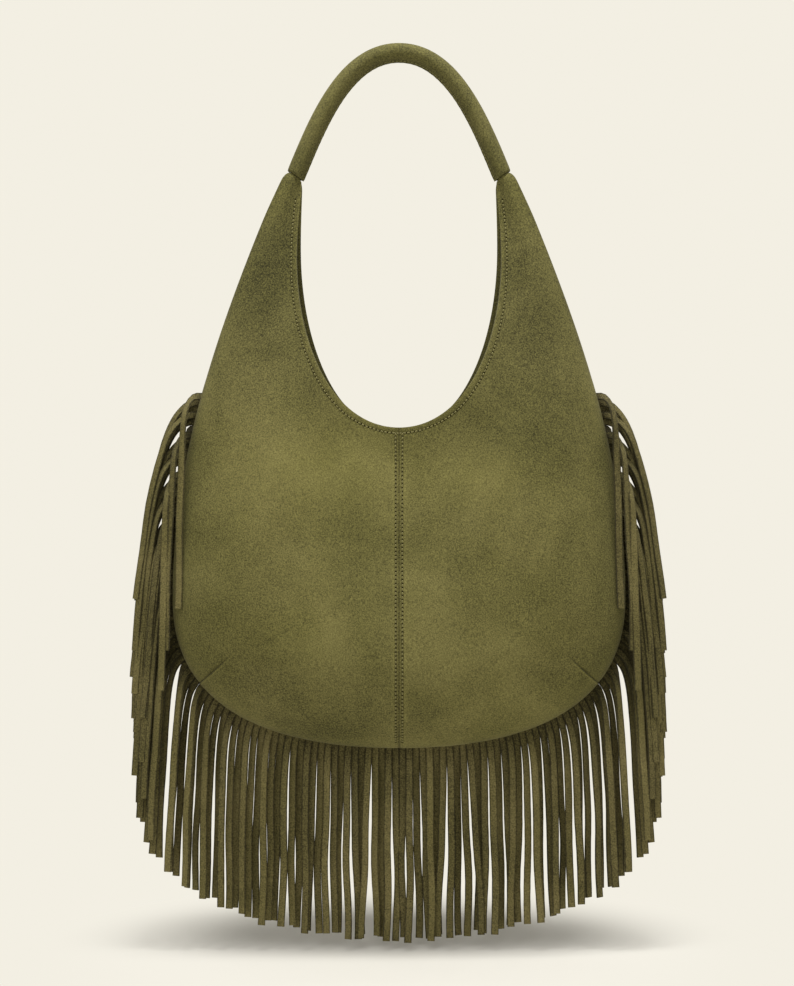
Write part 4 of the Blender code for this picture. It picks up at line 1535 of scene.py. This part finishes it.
class BAG_OT_lining(bpy.types.Operator):
    """Make the cotton bag inside, from its own seam up to the facing"""

    bl_idname = "bag.lining"
    bl_label = "Lining"

    def execute(self, context):
        finish = woven_finish("lining_weave", context.scene.bag_suede.lining_colour, LINING_WEAVE)
        inset = SUEDE / 2 + CLEARANCE + LINING_CLOTH / 2
        for place_name, face in FACES:
            sections = []
            for side, quarter, stations in both_halves(face, LINING_FROM_U, LINING_LINES):
                for u in stations:
                    foot = quarter.point(u, SEAM_ALLOWANCE + LINING_FOOT, False)
                    foot[1] = face * (CLEARANCE / 2 + LINING_CLOTH / 2)
                    top = quarter.width(u) - quarter.facing_width(u) - LINING_BELOW_FACING
                    low = SEAM_ALLOWANCE + LINING_FOLD
                    section = [foot]
                    for t in np.linspace(0.0, 1.0, LINING_ROWS):
                        section.append(quarter.inside(u, mix(low, top, t**LINING_POWER), inset))
                    sections.append([mirrored(side, p) for p in section])
            piece = add_sheet(f"cotton_{place_name}_lining", sections, LINING_CLOTH, finish)
            finish_piece(piece, "lining", f"{place_name}_lining")
        return {"FINISHED"}


class BAG_OT_handle(bpy.types.Operator):
    """Make the sewn sleeve of the handle and finish the core inside it"""

    bl_idname = "bag.handle"
    bl_label = "Rolled Handle"

    def execute(self, context):
        sleeve = make_sleeve(suede_of(context, "handle_nap", brushed=False))
        finish_piece(sleeve, "suede", "handle_sleeve")
        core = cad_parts["handle_core"]
        finish = woven_finish("core_weave", context.scene.bag_suede.lining_colour, CORE_WEAVE)
        for slot in core.material_slots:
            slot.material = finish
        return {"FINISHED"}


class BAG_OT_fringe(bpy.types.Operator):
    """Make the fringe round the seam, in the four lengths that it is sewn in"""

    bl_idname = "bag.fringe"
    bl_label = "Fringe"

    def execute(self, context):
        look = context.scene.bag_fringe
        finish = suede_of(context, "fringe_suede_nap", brushed=False, cut_edges=True)
        for side_name, side in SIDES:
            strip = make_fringe(f"slit_{side_name}_side_fringe", FRINGE_START, DART_AT, side, look, finish)
            finish_piece(strip, "fringe_suede", f"{side_name}_side_fringe")
            strip = make_fringe(f"slit_bottom_{side_name}_fringe", DART_AT, SEAM.length, side, look, finish)
            finish_piece(strip, "fringe_suede", f"bottom_{side_name}_fringe")
        return {"FINISHED"}


class BAG_OT_stitching(bpy.types.Operator):
    """Sew the topstitching round the mouth, beside the centre seams and along the handle"""

    bl_idname = "bag.stitching"
    bl_label = "Topstitching"

    def execute(self, context):
        look = context.scene.bag_stitches
        thread = thread_finish("sewing_thread", look.colour)
        hole = thread_finish("needle_hole_shade", look.hole_colour, 0.0)
        for place_name, face in FACES:
            rows = [neckline_row(face, side) for side in (-1, 1)]
            make_stitches(f"{place_name}_mouth", rows, look, thread, hole)
            rows = [centre_row(face, side) for side in (-1, 1)]
            make_stitches(f"{place_name}_centre", rows, look, thread, hole)
        make_stitches("handle", [fin_row(-1), fin_row(1)], look, thread, None, HANDLE_FINENESS)
        return {"FINISHED"}


class BAG_OT_snap(bpy.types.Operator):
    """Finish both halves of the magnetic snap in antique brass"""

    bl_idname = "bag.snap"
    bl_label = "Magnetic Snap"

    def execute(self, context):
        brass = metal_finish("antique_brass", BRASS)
        for name in ("snap_socket", "snap_stud"):
            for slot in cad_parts[name].material_slots:
                slot.material = brass
        return {"FINISHED"}


def add_light(name, size, power, place, aim):
    """A rectangular soft light that looks at a point."""
    lamp = bpy.data.lights.new(name, "AREA")
    lamp.shape = "RECTANGLE"
    lamp.size, lamp.size_y = size
    lamp.energy = power
    made = bpy.data.objects.new(name, lamp)
    bpy.context.scene.collection.objects.link(made)
    made.location = place
    made.rotation_euler = (Vector(aim) - Vector(place)).to_track_quat("-Z", "Y").to_euler()


def floor_finish(name, floor, backdrop):
    """Matt floor under the bag that fades, further off, into the backdrop's even colour."""
    made, tree, end = new_material(name)
    place = tree.place()
    across, deep, _ = tree.axes(place)
    away = tree.maths("SQRT", (across / FLOOR_STRETCH) ** 2.0 + deep ** 2.0)
    fade = tree.node("ShaderNodeMapRange", {"interpolation_type": "SMOOTHSTEP"},
                     {"Value": away, "From Min": FLOOR_FADE_FROM, "From Max": FLOOR_FADE_TO})
    matt = tree.node("ShaderNodeBsdfDiffuse", None, {"Color": opaque(floor)})
    even = tree.node("ShaderNodeEmission", None, {"Color": opaque(backdrop), "Strength": 1.0})
    surface = tree.node("ShaderNodeMixShader", None, {0: fade, 1: matt, 2: even})
    join_surface(tree, end, surface)
    return made


def set_world(backdrop, fill):
    """The backdrop's colour for what the camera sees, and a soft even light for the rest."""
    world = bpy.data.worlds.new("studio")
    bpy.context.scene.world = world
    world.use_nodes = True
    world.node_tree.nodes.clear()
    tree = Tree(world.node_tree)
    path = tree.node("ShaderNodeLightPath").socket.node
    seen = Link(tree, path.outputs["Is Camera Ray"])
    for ray in ("Is Glossy Ray", "Is Transmission Ray"):
        seen = tree.maths("MAXIMUM", seen, Link(tree, path.outputs[ray]))
    soft = tree.node("ShaderNodeBackground", None, {"Color": (1.0, 0.985, 0.95, 1.0), "Strength": fill})
    even = tree.node("ShaderNodeBackground", None, {"Color": opaque(backdrop), "Strength": 1.0})
    surface = tree.node("ShaderNodeMixShader", None, {0: seen, 1: soft, 2: even})
    tree.node("ShaderNodeOutputWorld", None, {"Surface": surface})


class BAG_OT_studio(bpy.types.Operator):
    """Set up the floor, backdrop, lights and camera"""

    bl_idname = "bag.studio"
    bl_label = "Studio"

    def execute(self, context):
        look = context.scene.bag_studio
        finish = floor_finish("studio_floor", look.floor, look.backdrop)
        signs = ((-1, -1), (1, -1), (1, 1), (-1, 1))
        corners = [(x * FLOOR_HALF, y * FLOOR_HALF, FLOOR_HEIGHT) for x, y in signs]
        floor = add_object("studio_floor", corners, [(0, 1, 2, 3)], finish)
        set_world(look.backdrop, look.fill)
        add_light("key_light", KEY_SIZE, look.key_power, KEY_PLACE, KEY_AIM)
        add_light("top_light", TOP_SIZE, look.top_power, TOP_PLACE, TOP_AIM)
        camera = bpy.data.cameras.new("camera")
        camera.sensor_fit = "VERTICAL"
        camera.sensor_height = CAMERA_SENSOR
        camera.lens = CAMERA_LENS
        made = bpy.data.objects.new("camera", camera)
        context.scene.collection.objects.link(made)
        made.location = CAMERA_PLACE
        made.rotation_euler = (math.radians(90.0), 0.0, 0.0)
        context.scene.camera = made
        context.scene.view_settings.view_transform = "Standard"
        return {"FINISHED"}


class BAG_PT_sidebar(bpy.types.Panel):
    """Lists the steps that make the bag, with the settings that they read"""

    bl_label = "Suede Bag"
    bl_idname = "BAG_PT_sidebar"
    bl_space_type = "VIEW_3D"
    bl_region_type = "UI"
    bl_category = "Suede Bag"

    def draw(self, context):
        layout = self.layout
        for group in (context.scene.bag_suede, context.scene.bag_fringe,
                      context.scene.bag_stitches, context.scene.bag_studio):
            box = layout.box()
            for name in group.__annotations__:
                box.prop(group, name)
        for step in STEPS:
            layout.operator(step.bl_idname)


STEPS = (BAG_OT_panels, BAG_OT_facings, BAG_OT_lining, BAG_OT_handle, BAG_OT_fringe, BAG_OT_stitching,
         BAG_OT_snap, BAG_OT_studio)
SETTINGS = (("bag_suede", SuedeSettings), ("bag_fringe", FringeSettings),
            ("bag_stitches", StitchSettings), ("bag_studio", StudioSettings))


def register():
    for name, group in SETTINGS:
        bpy.utils.register_class(group)
        setattr(bpy.types.Scene, name, bpy.props.PointerProperty(type=group))
    for made in STEPS + (BAG_PT_sidebar,):
        bpy.utils.register_class(made)


def unregister():
    for made in reversed(STEPS + (BAG_PT_sidebar,)):
        bpy.utils.unregister_class(made)
    for name, group in reversed(SETTINGS):
        delattr(bpy.types.Scene, name)
        bpy.utils.unregister_class(group)


def main():
    register()
    bpy.ops.bag.panels()
    bpy.ops.bag.facings()
    bpy.ops.bag.lining()
    bpy.ops.bag.handle()
    bpy.ops.bag.fringe()
    bpy.ops.bag.stitching()
    bpy.ops.bag.snap()
    bpy.ops.bag.studio()


if __name__ == "__main__":
    main()
